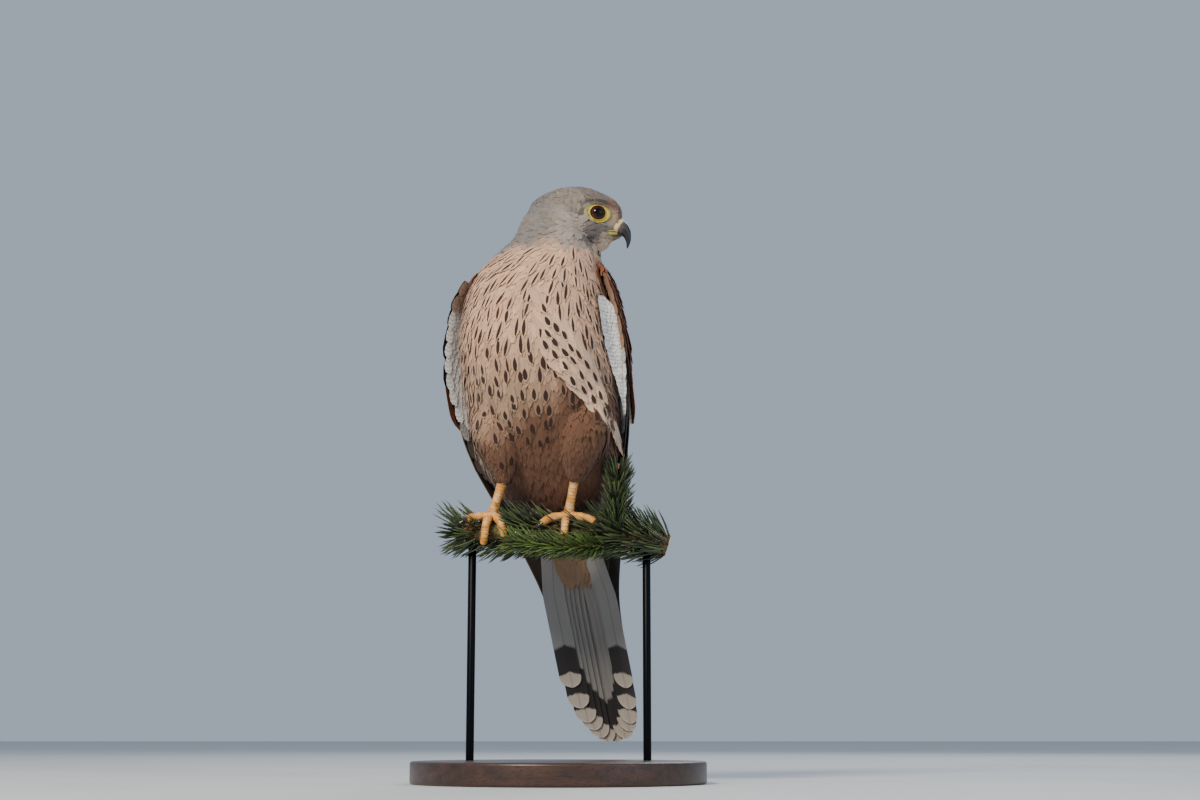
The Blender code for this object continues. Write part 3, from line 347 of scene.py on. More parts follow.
# Spruce bark, air dried: matt, with darker cracks between the pegs and a paler cut end with rings.
bark, tree, shader = new_finish("spruce_bark_dried", Roughness=0.85)
where = add(tree, "TexCoord").outputs["Object"]
patch = add(tree, "TexNoise", {"Vector": where, "Scale": 160.0, "Detail": 5.0})
crack = add(tree, "TexVoronoi", {"Vector": where, "Scale": 420.0}, feature="DISTANCE_TO_EDGE")
tone = add(tree, "ValToRGB", {"Fac": patch}, stops=[(0.35, BARK_SHADE), (0.5, BARK_OLD), (0.68, BARK_YOUNG)])
gaps = add(tree, "ValToRGB", {"Fac": crack}, stops=[(0.0, 0.35), (0.16, 1.0)])
shaded = add(tree, "MixRGB", {"Fac": 1.0, "Color1": tone, "Color2": gaps}, blend_type="MULTIPLY")
end_height = float(PERCH_HEIGHT - stem_sag(STEM_END))
hub = add(tree, "Mapping", {"Vector": where, "Location": (0.0, 0.0, -end_height * MM)})
split = add(tree, "SeparateXYZ", {"Vector": hub})
end_slope = float(stem_sag(STEM_END) - stem_sag(STEM_END - 1.0))
fall = [split.outputs["Z"], -end_slope, split.outputs["X"]]
square = add(tree, "Math", fall, operation="MULTIPLY_ADD")
cut_place = add(tree, "Math", [square, (STEM_END - 0.25) * MM], operation="GREATER_THAN")
rings = {"Vector": hub, "Scale": 300.0, "Distortion": 1.5}
ring = add(tree, "TexWave", rings, wave_type="RINGS", rings_direction="X")
growth = add(tree, "ValToRGB", {"Fac": ring}, stops=[(0.2, CUT_RING), (0.7, CUT_WOOD)])
whole = add(tree, "MixRGB", {"Fac": cut_place, "Color1": shaded, "Color2": growth})
relief = add(tree, "Bump", {"Strength": 0.5, "Distance": 0.0004, "Height": crack})
feed(shader, {"Base Color": whole, "Normal": relief})
show(stem, bark, "spruce", "perch_branch")
for name, path, radius in (
    ("perch_shoot", shoot_path, shoot_radius),
    ("perch_front_shoot", front_path, front_radius),
):
    show(closed_rings(name, tube_rings(path, barked(path, radius, 24, 0.3, 4.0))), bark, "spruce")


def bud_rings(spot, radius, heading, length=1.5):
    """A bud as an egg, with its scales as steps: radius (1 - w^2)^0.5 (1 - 0.3 w) (1 + 0.14 (1 - saw)) along
    w, where saw is the part of 2.5 w past the whole number below it."""
    w = np.linspace(-0.98, 0.99, 40)
    saw = (2.5 * w) % 1.0
    swell = radius * np.sqrt(1 - w**2) * (1.0 - 0.3 * w) * (1.0 + 0.14 * (1 - saw))
    turn = once_round(18)
    path = spot + np.outer(w * radius * length, unit(np.asarray(heading, float)))
    return tube_rings(path, swell[:, None] * (1.0 + 0.07 * np.cos(5 * turn + 6 * w[:, None])))


# Spruce buds: resinous papery scales, chestnut brown with paler rims.
husk, tree, shader = new_finish("spruce_bud_scales", Roughness=0.5)
where = add(tree, "TexCoord").outputs["Object"]
mottle = add(tree, "TexNoise", {"Vector": where, "Scale": 700.0, "Detail": 3.0})
tone = add(tree, "ValToRGB", {"Fac": mottle}, stops=[(0.35, BUD_SHADE), (0.55, BUD_BROWN), (0.72, BUD_RIM)])
feed(shader, {"Base Color": tone})
bud_parts = [bud_rings(shoot_path[-1] + (0, 0, 0.6), 2.1, (0.05, -0.2, 1.0))]
bud_parts.append(bud_rings(front_path[-1], 1.8, (-1.0, 0.0, 0.2)))
for k, spot in enumerate(BUDS):
    for turn in range(4):
        lean = np.array([math.cos(turn * 1.9 + k), -0.9, 0.7 * math.sin(turn * 1.9 + k)])
        out = np.array(spot) + 2.0 * lean * (0.4 + 0.25 * turn)
        bud_parts.append(bud_rings(out, 1.75 - 0.17 * turn, lean))
show(mesh_piece("perch_buds", *merged(bud_parts)), husk, "spruce")


# 4. Feet
# Leather-tough yellow skin over bone: a bare shank and four toes, the outer three in front of the stem and
# the hind toe behind it. Each has a row of horny plates down its top, and the claws are black horn.

# For each foot the pad's x and the ankle, then for each toe its name, and the angle round the stem and the
# x at which the toe ends and its claw ends
FEET = {
    1: (
        "left", 4.7, (8.8, -8.6, 164.0),
        (
            ("inner", 64.0, -9.5, 92.0, -14.5),
            ("middle", 138.0, 2.6, 186.0, 2.0),
            ("outer", 60.0, 19.5, 86.0, 25.0),
            ("hind", -92.0, 6.5, -140.0, 7.0),
        ),
    ),
    -1: (
        "right", -37.4, (-30.8, -6.6, 163.0),
        (
            ("outer", 44.0, -51.0, 74.0, -56.5),
            ("middle", 138.0, -41.5, 186.0, -42.5),
            ("inner", 112.0, -30.0, 160.0, -28.5),
            ("hind", -92.0, -36.0, -140.0, -35.5),
        ),
    ),
}
SHANK_PLATES, TOE_PLATES = 12, 11
# Which of a foot's parts is its pad, which has no plates
PAD = 1
SHANK_RADIUS = 3.0
TOE_RADIUS = 2.25
PAD_RADIUS = 3.1
CLAW_RADIUS = 1.45
SCUTE_RISE = 0.34
FOOT_DEEP = "#cf8433"
FOOT_YELLOW = "#e2a04c"
FOOT_PALE = "#efca92"
FOOT_CREASE = "#a3662b"
CLAW_BLACK = "#121213"
CLAW_GREY = "#3a3836"


def round_stem(angle, x, radius):
    """A point at an angle from the top of the stem towards the viewer, at x along it."""
    a = np.radians(angle)
    return points_at(x, -radius * np.sin(a), PERCH_HEIGHT + radius * np.cos(a))


def scuted(w, radius, sides, plates, facing):
    """Radii with plates down one face and small scales elsewhere: on the face the radius swells by
    SCUTE_RISE (1 - (2 f - 1)^6) (0.75 + 0.25 f) over each plate's share f of the length, and elsewhere by a
    fine wave."""
    turn = once_round(sides)
    face = np.clip(facing * np.sin(turn) * 1.6 - 0.1, 0.0, 1.0) ** 0.7
    f = (w * plates) % 1.0
    plate = (1.0 - (2 * f - 1) ** 6) * (0.75 + 0.25 * f)
    scale = 0.11 * np.cos(9 * turn[None]) * np.cos(2 * math.pi * w[:, None] * plates * 2.3)
    return radius[:, None] + SCUTE_RISE * plate[:, None] * face + scale * (1 - face)


def foot_parts(side):
    """The rings of one foot's shank, pad and toes, and of its claws."""
    label, pad_x, ankle, toes = FEET[side]
    pad = round_stem(4.0, pad_x, STEM_RADIUS + GAP + PAD_RADIUS)
    w = np.linspace(0.0, 1.0, 130)
    path = np.array(ankle) + (0, 0, 3.0) + (pad - np.array(ankle) - (0, 0, 3.0)) * w[:, None]
    shank = SHANK_RADIUS - 0.55 * np.sin(math.pi * w) - 0.15
    flesh = [tube_rings(path, scuted(w, shank, 30, SHANK_PLATES, -1.0))]
    turn = np.linspace(-0.99, 0.99, 24)
    pad_path = pad + points_at(5.0 * turn, 0.0, -0.3)
    knobs = 1.0 + 0.05 * np.cos(6 * once_round(26))[None] * np.cos(9 * turn)[:, None]
    flesh.append(tube_rings(pad_path, (PAD_RADIUS * np.sqrt(1 - turn**2))[:, None] * knobs))
    claws = []
    lift = STEM_RADIUS + GAP + TOE_RADIUS + 0.42
    for name, end_angle, end_x, claw_angle, claw_x in toes:
        start_angle = 12.0 if end_angle > 0 else -12.0
        start_x = pad_x + 0.14 * (end_x - pad_x)
        v = np.linspace(0.0, 1.0, 120)
        x = start_x + (end_x - start_x) * (v + 0.12 * np.sin(math.pi * v))
        path = round_stem(start_angle + (end_angle - start_angle) * v, x, np.full(120, lift))
        radius = TOE_RADIUS - 0.35 * v + 0.2 * np.cos(6 * math.pi * v) * (1 - v)
        radius = radius * np.sqrt(np.clip((1.03 - v) / 0.06, 0.25, 1.0))
        flesh.append(tube_rings(path, scuted(v, radius, 26, TOE_PLATES, 1.0)))
        heading = unit(path[-1] - path[-3])
        start = path[-1] - heading * 1.2
        tip = round_stem(claw_angle, claw_x, lift - 1.2)
        elbow = start + heading * 0.55 * np.linalg.norm(tip - start)
        c = np.linspace(0.0, 1.0, 40)[:, None]
        claw_path = (1 - c) ** 2 * start + 2 * c * (1 - c) * elbow + c**2 * tip
        claw_radius = np.repeat(CLAW_RADIUS * (1.0 - c) ** 0.75 + 0.12, 20, axis=1)
        claws.append((f"claw_{label}_{name}", tube_rings(claw_path, claw_radius)))
    return flesh, claws


# Scaled skin of a living bird, as painted on a museum cast: warm yellow, paler on the plates, brown in the
# creases, with the dull shine of horn.
flesh_glow = {"Subsurface_Weight": 0.12, "Subsurface_Scale": 0.002, "Subsurface_Radius": (1.0, 0.5, 0.2)}
yellow_skin, tree, shader = new_finish("scaled_yellow_skin", Roughness=0.42, **flesh_glow)
where = add(tree, "TexCoord").outputs["Object"]
cells = add(tree, "TexVoronoi", {"Vector": where, "Scale": 850.0}, feature="DISTANCE_TO_EDGE")
blotch = add(tree, "TexNoise", {"Vector": where, "Scale": 260.0, "Detail": 3.0})
tone = add(tree, "ValToRGB", {"Fac": blotch}, stops=[(0.3, FOOT_DEEP), (0.5, FOOT_YELLOW), (0.7, FOOT_PALE)])
crease = add(tree, "ValToRGB", {"Fac": cells}, stops=[(0.0, 0.72), (0.1, 1.0)])
lined = add(tree, "MixRGB", {"Fac": 1.0, "Color1": tone, "Color2": crease}, blend_type="MULTIPLY")
bulge = add(tree, "Attribute", attribute_name="hollow")
worn = add(tree, "MixRGB", {"Fac": bulge.outputs["Fac"], "Color1": lined, "Color2": linear(FOOT_CREASE)})
relief = add(tree, "Bump", {"Strength": 0.35, "Distance": 0.0002, "Height": cells})
feed(shader, {"Base Color": worn, "Normal": relief})

# Claw horn: near black, polished by wear, greyer at the root.
claw_horn, tree, shader = new_finish("black_claw_horn", Roughness=0.22, Coat_Weight=0.4, Coat_Roughness=0.15)
where = add(tree, "TexCoord").outputs["Object"]
streak = add(tree, "TexNoise", {"Vector": where, "Scale": 500.0, "Detail": 2.0})
tone = add(tree, "ValToRGB", {"Fac": streak}, stops=[(0.35, CLAW_BLACK), (0.8, CLAW_GREY)])
feed(shader, {"Base Color": tone})


def set_attribute(piece, name, values, kind="FLOAT"):
    """Stores one value, vector or colour for each point of a piece."""
    field = {"FLOAT": "value", "FLOAT_VECTOR": "vector", "FLOAT_COLOR": "color"}[kind]
    made = piece.data.attributes.new(name, kind, "POINT")
    made.data.foreach_set(field, np.ascontiguousarray(values, dtype=np.float32).ravel())


toe_lines = []
for side in (1, -1):
    flesh, claws = foot_parts(side)
    label = FEET[side][0]
    points, faces = merged(flesh)
    skin_piece = mesh_piece(f"foot_skin_{label}", points, faces)
    hollows = []
    for k, rings in enumerate(flesh):
        f = np.abs(np.linspace(0.0, 1.0, len(rings)) * (TOE_PLATES if k else SHANK_PLATES) % 1.0 - 0.5) * 2
        seam = np.repeat(np.clip(f - 0.82, 0, 1) / 0.18 * (0.0 if k == PAD else 0.4), rings.shape[1])
        hollows.append(np.append(seam, [0.0, 0.0]))
        toe_lines.append(rings.mean(axis=1))
    set_attribute(skin_piece, "hollow", np.concatenate(hollows))
    show(skin_piece, yellow_skin, "yellow_skin", f"foot_{label}")
    for name, rings in claws:
        show(closed_rings("horn_" + name, rings), claw_horn, "dark_horn", name)


# 5. Needles
# Spruce needles, four-sided and stiff, set all round the twigs and leaning towards their tips, fewer where
# the toes press them aside.

NEEDLE_LENGTH = 14.5
NEEDLE_DARK = "#20281a"
NEEDLE_MID = "#3f4d2a"
NEEDLE_NEW = "#66803c"
NEEDLE_OLD_TIP = "#55663a"
NEEDLE_NEW_MID = "#54692f"
NEEDLE_ROOT = "#8a7a52"
NEEDLE_END = "#d9c48a"
draw = np.random.default_rng(11)


def needle_field(path, radii, count, lean, length, first=0.0):
    """Roots, headings and lengths of needles by the golden angle round a path, and leaning along it."""
    along, side, up = frames_along(path)
    place = (np.arange(count) + draw.random(count)) / count * (len(path) - 1 - first) + first
    low = np.minimum(place.astype(int), len(path) - 2)
    turn = np.arange(count) * 2.39996 + draw.uniform(-0.3, 0.3, count)
    out = np.cos(turn)[:, None] * side[low] + np.sin(turn)[:, None] * up[low]
    slant = np.radians(draw.uniform(38.0, 64.0, count))[:, None]
    heading = along[low] * lean * np.cos(slant) + out * np.sin(slant)
    bend = along[low] * lean * 0.22 + np.array([0.0, 0.0, 0.10])
    root = path[low] + out * (radii[low] - 0.5)[:, None]
    return root, unit(heading), bend, length * draw.uniform(0.75, 1.08, count), out


def clear_of_lines(points, lines, distance):
    """True for rows of points that keep a distance from every sixth point of some lines."""
    line = np.concatenate(lines)
    gap = np.linalg.norm(points[..., None, :] - line[::6], axis=-1).min(axis=-1)
    return (gap > distance).all(axis=-1)


def needle_mesh(name, fields, width):
    """Needles as four-sided tapered rods, closed at both ends: root + heading r + bend r s, where s is the
    share of the length and r = s length. Those that would touch a toe or hang too low are left out."""
    root, heading, bend, length, out = (np.concatenate(part) for part in zip(*fields))
    s = np.array([0.0, 0.12, 0.5, 0.85, 1.0])
    run = s[None, :, None] * length[:, None, None]
    middle = root[:, None] + heading[:, None] * run + bend[:, None] * run * s[None, :, None]
    keep = clear_of_lines(middle[:, 1:], toe_lines, 3.9) & (middle[:, -1, 2] > 20.0)
    middle, heading, out = middle[keep], heading[keep], out[keep]
    across = unit(np.cross(heading, out))
    upright = np.cross(across, heading)
    size = width * np.array([0.75, 1.0, 1.0, 0.75, 0.1])
    corner = np.array([[1.0, 0.0], [0.0, 0.72], [-1.0, 0.0], [0.0, -0.72]])
    ring = corner[:, 0, None] * across[:, None, None] + corner[:, 1, None] * upright[:, None, None]
    points = middle[:, :, None] + size[None, :, None, None] * ring
    count = len(points)
    quads = np.concatenate([band_quads(4, 5, 4), [[3, 2, 1, 0], [16, 17, 18, 19]]])
    faces = (quads[None] + 20 * np.arange(count)[:, None, None]).reshape(-1, 4)
    made = mesh_piece(name, points, [faces])
    set_attribute(made, "tone", np.repeat(draw.random(count), 20))
    set_attribute(made, "reach", np.tile(np.repeat(s, 4), count))
    return made


def needle_finish(name, dark, mid, new):
    """Spruce needle: a waxy satin green, yellower at the tip and browner at its root."""
    made, tree, shader = new_finish(name, Roughness=0.45, Coat_Weight=0.1)
    tone = add(tree, "Attribute", attribute_name="tone")
    reach = add(tree, "Attribute", attribute_name="reach")
    greens = [(0.1, dark), (0.6, mid), (0.95, new)]
    green = add(tree, "ValToRGB", {"Fac": tone.outputs["Fac"]}, stops=greens)
    wear = [(0.0, NEEDLE_ROOT), (0.12, "#ffffff"), (0.9, "#ffffff"), (1.0, NEEDLE_END)]
    tips = add(tree, "ValToRGB", {"Fac": reach.outputs["Fac"]}, stops=wear)
    tinged = add(tree, "MixRGB", {"Fac": 0.8, "Color1": green, "Color2": tips}, blend_type="MULTIPLY")
    feed(shader, {"Base Color": tinged})
    return made


stem_needles = needle_field(stem_path, stem_radius(xs), 1150, -1.0, NEEDLE_LENGTH)
shoot_needles = needle_field(shoot_path, shoot_radius, 330, 1.0, NEEDLE_LENGTH * 0.72, 4.0)
front_needles = needle_field(front_path, front_radius, 420, 1.0, NEEDLE_LENGTH * 0.66, 6.0)
old_green = needle_finish("spruce_needle_old", NEEDLE_DARK, NEEDLE_MID, NEEDLE_OLD_TIP)
new_green = needle_finish("spruce_needle_new", NEEDLE_MID, NEEDLE_NEW_MID, NEEDLE_NEW)
show(needle_mesh("perch_needles", [stem_needles, shoot_needles], 0.56), old_green, "spruce")
show(needle_mesh("perch_needles_new", [front_needles], 0.5), new_green, "spruce")


# 6. Body under its coat
# The carved form that carries the feathers: body, neck, head, thighs, the fleshy arm of each wing and the
# root of the tail in one skin, sanded smooth and tinted like the plumage over it. It lies inside the
# outline by the depth of the feathers.

BODY_X = -11.0
BODY_YAW = math.radians(15.0)
SWING = 0.118
SWING_TOP = 40.0
HEAD_CENTRE = (9.5, -8.0, 314.0)
HEAD_TURN = math.radians(12.0)
HEAD_DROP = math.radians(4.0)
# Height over the perch, middle q, half width, front p, back p
BODY_SECTIONS = (
    (-5.0, 1.0, 7.0, 33.0, 42.0),
    (5.0, 1.0, 18.0, 20.0, 48.0),
    (20.0, 1.0, 31.0, 3.0, 51.0),
    (40.0, 1.0, 39.0, -16.0, 52.0),
    (62.0, 1.0, 42.0, -31.0, 50.5),
    (86.0, 0.0, 43.0, -40.0, 47.0),
    (108.0, -1.0, 42.5, -42.0, 41.5),
    (130.0, -1.0, 39.8, -39.0, 35.0),
    (143.0, 0.6, 36.8, -35.0, 29.5),
    (154.0, 4.4, 31.8, -29.5, 24.0),
    (164.0, 9.2, 25.0, -26.0, 17.0),
    (174.0, 10.5, 20.8, -24.5, 12.0),
    (183.0, 11.5, 16.0, -20.0, 7.0),
    (189.0, 12.0, 9.0, -14.0, 2.0),
)
# Forward, top, bottom, half width
HEAD_SECTIONS = (
    (-27.5, 4.0, -6.0, 4.0),
    (-24.5, 9.0, -11.0, 9.5),
    (-18.0, 13.2, -17.5, 13.8),
    (-10.0, 16.4, -21.0, 16.2),
    (-2.0, 17.5, -22.0, 17.0),
    (6.0, 17.0, -22.0, 16.6),
    (13.0, 14.6, -20.2, 14.2),
    (18.0, 12.4, -16.6, 11.6),
    (21.5, 10.4, -12.6, 9.0),
    (24.2, 7.4, -9.2, 6.2),
    (25.8, 3.2, -5.6, 3.4),
)
# World x and y, height over the perch, half sizes, from the belly to the ankle
THIGH_SECTIONS = {
    1: (
        (17.0, -8.0, 84.0, 9.0, 9.0),
        (15.5, -14.5, 72.0, 14.5, 13.5),
        (14.0, -17.5, 56.0, 15.0, 14.0),
        (12.0, -15.5, 43.0, 12.0, 11.5),
        (9.8, -11.0, 33.0, 7.2, 7.2),
        (8.8, -8.6, 28.0, 4.6, 4.8),
    ),
    -1: (
        (-32.0, 2.0, 84.0, 9.0, 9.0),
        (-33.5, -4.0, 72.0, 14.0, 13.5),
        (-34.0, -8.0, 56.0, 14.5, 13.5),
        (-33.0, -8.5, 43.0, 11.5, 11.0),
        (-31.5, -7.5, 33.0, 7.0, 7.0),
        (-30.8, -6.6, 27.0, 4.6, 4.8),
    ),
}
# Height over the perch, leading edge q and p, crown of the curve q and p, inner edge q and p
WING_SECTIONS = (
    (-84.0, 18.0, 73.5, 14.0, 78.0, 4.0, 80.0),
    (-58.0, 17.5, 64.5, 14.5, 70.0, 4.0, 73.0),
    (-32.0, 19.5, 55.0, 16.5, 63.0, 4.0, 66.5),
    (-6.0, 26.5, 44.0, 22.0, 57.0, 4.0, 61.0),
    (20.0, 35.0, 30.0, 29.0, 51.0, 4.0, 57.0),
    (44.0, 43.0, 16.0, 35.0, 47.0, 4.0, 55.5),
    (66.0, 48.5, 3.0, 38.0, 42.5, 4.0, 53.5),
    (88.0, 51.5, -8.0, 40.5, 39.5, 4.0, 50.0),
    (108.0, 50.5, -12.0, 41.5, 36.0, 4.0, 46.0),
    (130.0, 46.0, -14.5, 41.5, 30.0, 5.0, 38.0),
    (146.0, 39.0, -11.0, 37.0, 22.0, 8.0, 27.0),
    (152.0, 33.0, -7.0, 31.5, 18.0, 11.0, 21.0),
)
# Forward, out, up, radius of the ridge over each eye
BROW_LINE = (
    (23.0, 5.8, 4.0, 0.5),
    (19.5, 8.2, 5.0, 1.5),
    (14.5, 10.6, 5.5, 1.9),
    (9.0, 12.6, 5.0, 1.6),
    (4.0, 14.6, 3.4, 0.5),
)
BODY_DEPTH = 2.2
HEAD_DEPTH = 1.1
THIGH_DEPTH = 1.6
SKIN_DETAIL = 0.96
TAIL_SLOPE = math.radians(19.5)
TAIL_BACK, TAIL_RISE = 37.5, 14.0
EYE_RADIUS = 5.6
EYE_FORWARD, EYE_SIDE, EYE_UP = 13.2, 9.4, -0.8
EYE_SPLAY = math.radians(24.0)


def bird(q, p, h):
    """World points in mm from q to the bird's left, p to its back and h over the perch: swung aside below
    SWING_TOP, turned by the body's yaw, and set over the perch."""
    q = q + SWING * np.maximum(0.0, SWING_TOP - h)
    x = BODY_X + q * math.cos(BODY_YAW) + p * math.sin(BODY_YAW)
    y = -q * math.sin(BODY_YAW) + p * math.cos(BODY_YAW)
    return points_at(x, y, PERCH_HEIGHT + h)


def from_bird(points):
    """The q, p and h of world points: the same turn and swing undone."""
    x, y, h = points[..., 0] - BODY_X, points[..., 1], points[..., 2] - PERCH_HEIGHT
    q = x * math.cos(BODY_YAW) - y * math.sin(BODY_YAW)
    p = x * math.sin(BODY_YAW) + y * math.cos(BODY_YAW)
    return q - SWING * np.maximum(0.0, SWING_TOP - h), p, h


def head_axes():
    """Unit rows: forward along the bill, to the bird's right side of the head, and up."""
    forward = np.array([math.cos(HEAD_TURN), -math.sin(HEAD_TURN), 0.0])
    side = np.array([-math.sin(HEAD_TURN), -math.cos(HEAD_TURN), 0.0])
    up = np.array([0.0, 0.0, 1.0])
    lean, rise = math.cos(HEAD_DROP), math.sin(HEAD_DROP)
    return np.array([forward * lean - up * rise, side, up * lean + forward * rise])


def on_head(forward, side, up):
    """World points from the head's own forward, side and up."""
    return np.asarray(HEAD_CENTRE) + points_at(forward, side, up) @ head_axes()


def oval(sides, exponent):
    """Cosine and sine of a slightly squared oval, each to the power 2 / exponent, once round."""
    c, s = np.cos(once_round(sides)), np.sin(once_round(sides))
    return np.sign(c) * np.abs(c) ** (2.0 / exponent), np.sign(s) * np.abs(s) ** (2.0 / exponent)


def body_rings(place, sides, grow=0.0):
    """Rings of the body at places counted in sections: middle + (half + grow) times an oval."""
    rows = through(BODY_SECTIONS, place)[:, :, None]
    c, s = oval(sides, 2.3)
    h, middle, half, front, back = (rows[:, k] for k in range(5))
    return bird(middle + (half + grow) * c, (front + back) / 2 + ((back - front) / 2 + grow) * s, h)


def head_rings(place, sides, grow=0.0):
    """Rings of the head at places counted in sections, square to its forward axis."""
    rows = through(HEAD_SECTIONS, place)[:, :, None]
    c, s = oval(sides, 2.2)
    forward, top, bottom, half = (rows[:, k] for k in range(4))
    return on_head(forward, (half + grow) * c, (top + bottom) / 2 + ((top - bottom) / 2 + grow) * s)


def thigh_rings(place, sides, side, grow=0.0):
    """Level rings of one thigh at places counted in sections."""
    rows = through(THIGH_SECTIONS[side], place)[:, :, None]
    c, s = oval(sides, 2.1)
    x, y, h, wide, deep = (rows[:, k] for k in range(5))
    return points_at(x + (wide + grow) * c, y + (deep + grow) * s, PERCH_HEIGHT + h)


def wing_surface(h, t):
    """q, p and h on the folded wing: sections read by height, and across each a curve of second degree from
    leading edge over the crown to the inner edge."""
    table = np.asarray(WING_SECTIONS)
    v = through(table[:, 1:], np.interp(h, table[:, 0], np.arange(len(table))))
    w0, w1, w2 = (1 - t) ** 2, 2 * t * (1 - t), t**2
    q, p = (w0 * v[..., k] + w1 * v[..., k + 2] + w2 * v[..., k + 4] for k in (0, 1))
    return points_at(q, p, h)


def wing_point(h, t, offset, side):
    """A world point on a folded wing: surface + offset times the normal, which is the cross product of the
    run down the wing and the run across it."""
    h, t, offset = (np.array(v, float) for v in np.broadcast_arrays(h, t, offset))
    down = wing_surface(h - 0.5, t) - wing_surface(h + 0.5, t)
    across = wing_surface(h, np.minimum(t + 0.01, 1.2)) - wing_surface(h, np.maximum(t - 0.01, -0.2))
    normal = unit(np.cross(down, across))
    facing = np.where(normal[..., 1:2] + 0.4 * normal[..., 0:1] < 0, -1.0, 1.0)
    out = wing_surface(h, t) + facing * normal * offset[..., None]
    return bird(side * out[..., 0], out[..., 1], out[..., 2])


def wing_width(h):
    """Arc length in mm across the wing at each height."""
    line = wing_point(np.asarray(h, float)[..., None], np.linspace(0.0, 1.0, 9), 0.0, 1)
    return np.linalg.norm(np.diff(line, axis=-2), axis=-1).sum(axis=-1)


def tail_point(along, across, lift):
    """A world point on the tail, a plane that slopes by TAIL_SLOPE from upright, with lift to its back."""
    down, back = math.cos(TAIL_SLOPE), math.sin(TAIL_SLOPE)
    return bird(across, TAIL_BACK + along * back + lift * down, TAIL_RISE - along * down + lift * back)


def arm_rings(side):
    """The arm of one wing as a shell: outer and inner offsets of the wing's surface, thicker towards its
    leading edge by exp(-(t / 0.12)^2) and thin at both ends."""
    heights = np.linspace(149.0, 62.0, 24)
    t = np.linspace(0.045, 0.95, 34)
    w = np.linspace(0.0, 1.0, 24)
    thick = (0.35 + 0.65 * np.minimum(1.0, np.minimum(w / 0.15, (1 - w) / 0.3)))[:, None]
    lead = np.exp(-((t / 0.12) ** 2))[None]
    out = wing_point(heights[:, None], t, thick * (1.3 - 0.7 * lead), side)
    inn = wing_point(heights[:, None], t, -thick * (0.9 + 0.6 * lead), side)
    return np.concatenate([out, inn[:, ::-1]], axis=1)


def tail_root_rings():
    """The fleshy root of the tail: ovals along it."""
    along = np.linspace(-22.0, 12.0, 14)
    wide = np.interp(along, (-22.0, 0.0, 12.0), (7.5, 10.5, 9.5))[:, None]
    tall = np.interp(along, (-22.0, -4.0, 12.0), (2.8, 3.8, 1.8))[:, None]
    turn = once_round(30)
    return tail_point(along[:, None], wide * np.cos(turn), -2.2 + tall * np.sin(turn))


def settled(piece, *steps):
    """A piece after modifiers, with their settings, have been worked into its mesh."""
    for kind, settings in steps:
        step = piece.modifiers.new(kind.lower(), kind)
        for key, value in settings.items():
            setattr(step, key, value)
    graph = bpy.context.evaluated_depsgraph_get()
    mesh = bpy.data.meshes.new_from_object(piece.evaluated_get(graph))
    piece.modifiers.clear()
    old = piece.data
    piece.data = mesh
    bpy.data.meshes.remove(old)
    return piece


def points_of(piece):
    """The points of a piece in mm."""
    flat = np.empty(len(piece.data.vertices) * 3, np.float32)
    piece.data.vertices.foreach_get("co", flat)
    return flat.reshape(-1, 3).astype(float) / MM


def eye_place(side):
    """Middle of an eyeball and the way it looks, in world axes."""
    axes = head_axes()
    looks = axes[0] * math.sin(EYE_SPLAY) + axes[1] * side * math.cos(EYE_SPLAY)
    return on_head(EYE_FORWARD, side * EYE_SIDE, EYE_UP), looks


forms = [body_rings(np.linspace(0.0, 13.0, 110), 110, -BODY_DEPTH)]
forms.append(head_rings(np.linspace(0.0, 10.0, 80), 90, -HEAD_DEPTH))
forms += [thigh_rings(np.linspace(0.0, 5.0, 50), 50, side, -THIGH_DEPTH) for side in (1, -1)]
forms += [arm_rings(1), arm_rings(-1), tail_root_rings()]
for side in (1, -1):
    brow = through(BROW_LINE, np.linspace(0.0, 4.0, 30))
    ridge = on_head(brow[:, 0], side * (brow[:, 1] - 0.6), brow[:, 2] - 0.2)
    forms.append(tube_rings(ridge, np.repeat(brow[:, 3:], 16, axis=1)))
points, faces, count = [], [], 0
for rings in forms:
    form_points, form_faces = merged([rings])
    faces += [group + count for group in reversed(outwards(form_points, form_faces))]
    points.append(form_points)
    count += len(form_points)
skin = mesh_piece("plumage_skin", np.concatenate(points), faces)
settled(
    skin,
    ("REMESH", {"mode": "VOXEL", "voxel_size": SKIN_DETAIL * MM, "use_smooth_shade": True}),
    ("SMOOTH", {"factor": 0.5, "iterations": 6}),
)
body_points = points_of(skin)
for side in (1, -1):
    middle, looks = eye_place(side)
    run = body_points - middle
    depth = run @ looks
    aside = np.linalg.norm(run - depth[:, None] * looks, axis=1)
    dent = np.clip((EYE_RADIUS - aside) / 1.2, 0.0, 1.0) * (depth > 0)
    body_points -= looks * (dent * np.maximum(0.0, depth - 1.0))[:, None]
skin.data.vertices.foreach_set("co", (body_points * MM).astype(np.float32).ravel())
skin.data.update()
skin.data.shade_smooth()


# 7. Colours of the plumage
# A male kestrel: blue-grey hood and tail, a pale cheek with a dark moustache, cream throat, warm buff
# underparts, and chestnut back and wing coverts. The colours run into each other as on the bird.

BREAST = "#d6ae91"
# Belly buff, darkened in part as painted shade; the vent and thigh colours are painted shade over rufous
# buff.
BELLY_AND_SHADE = "#a88a72"
VENT_PAINTED_SHADE = "#69493a"
HOOD = "#857c73"
NAPE = "#7c7774"
CHEEK = "#9c928a"
MOUSTACHE = "#625d5b"
THROAT = "#cdb49c"
FOREHEAD = "#85604e"
# Dark stroke behind the eye, used as well for the painted shade under the brow.
LORES = "#b39c82"
EYE_STROKE_AND_BROW_SHADE = "#4f4946"
CHESTNUT = "#955a3a"
RUMP = "#8e8c8c"
# Thigh rufous buff, darkened as painted shade.
THIGH_PAINTED_SHADE = "#6f4f3c"
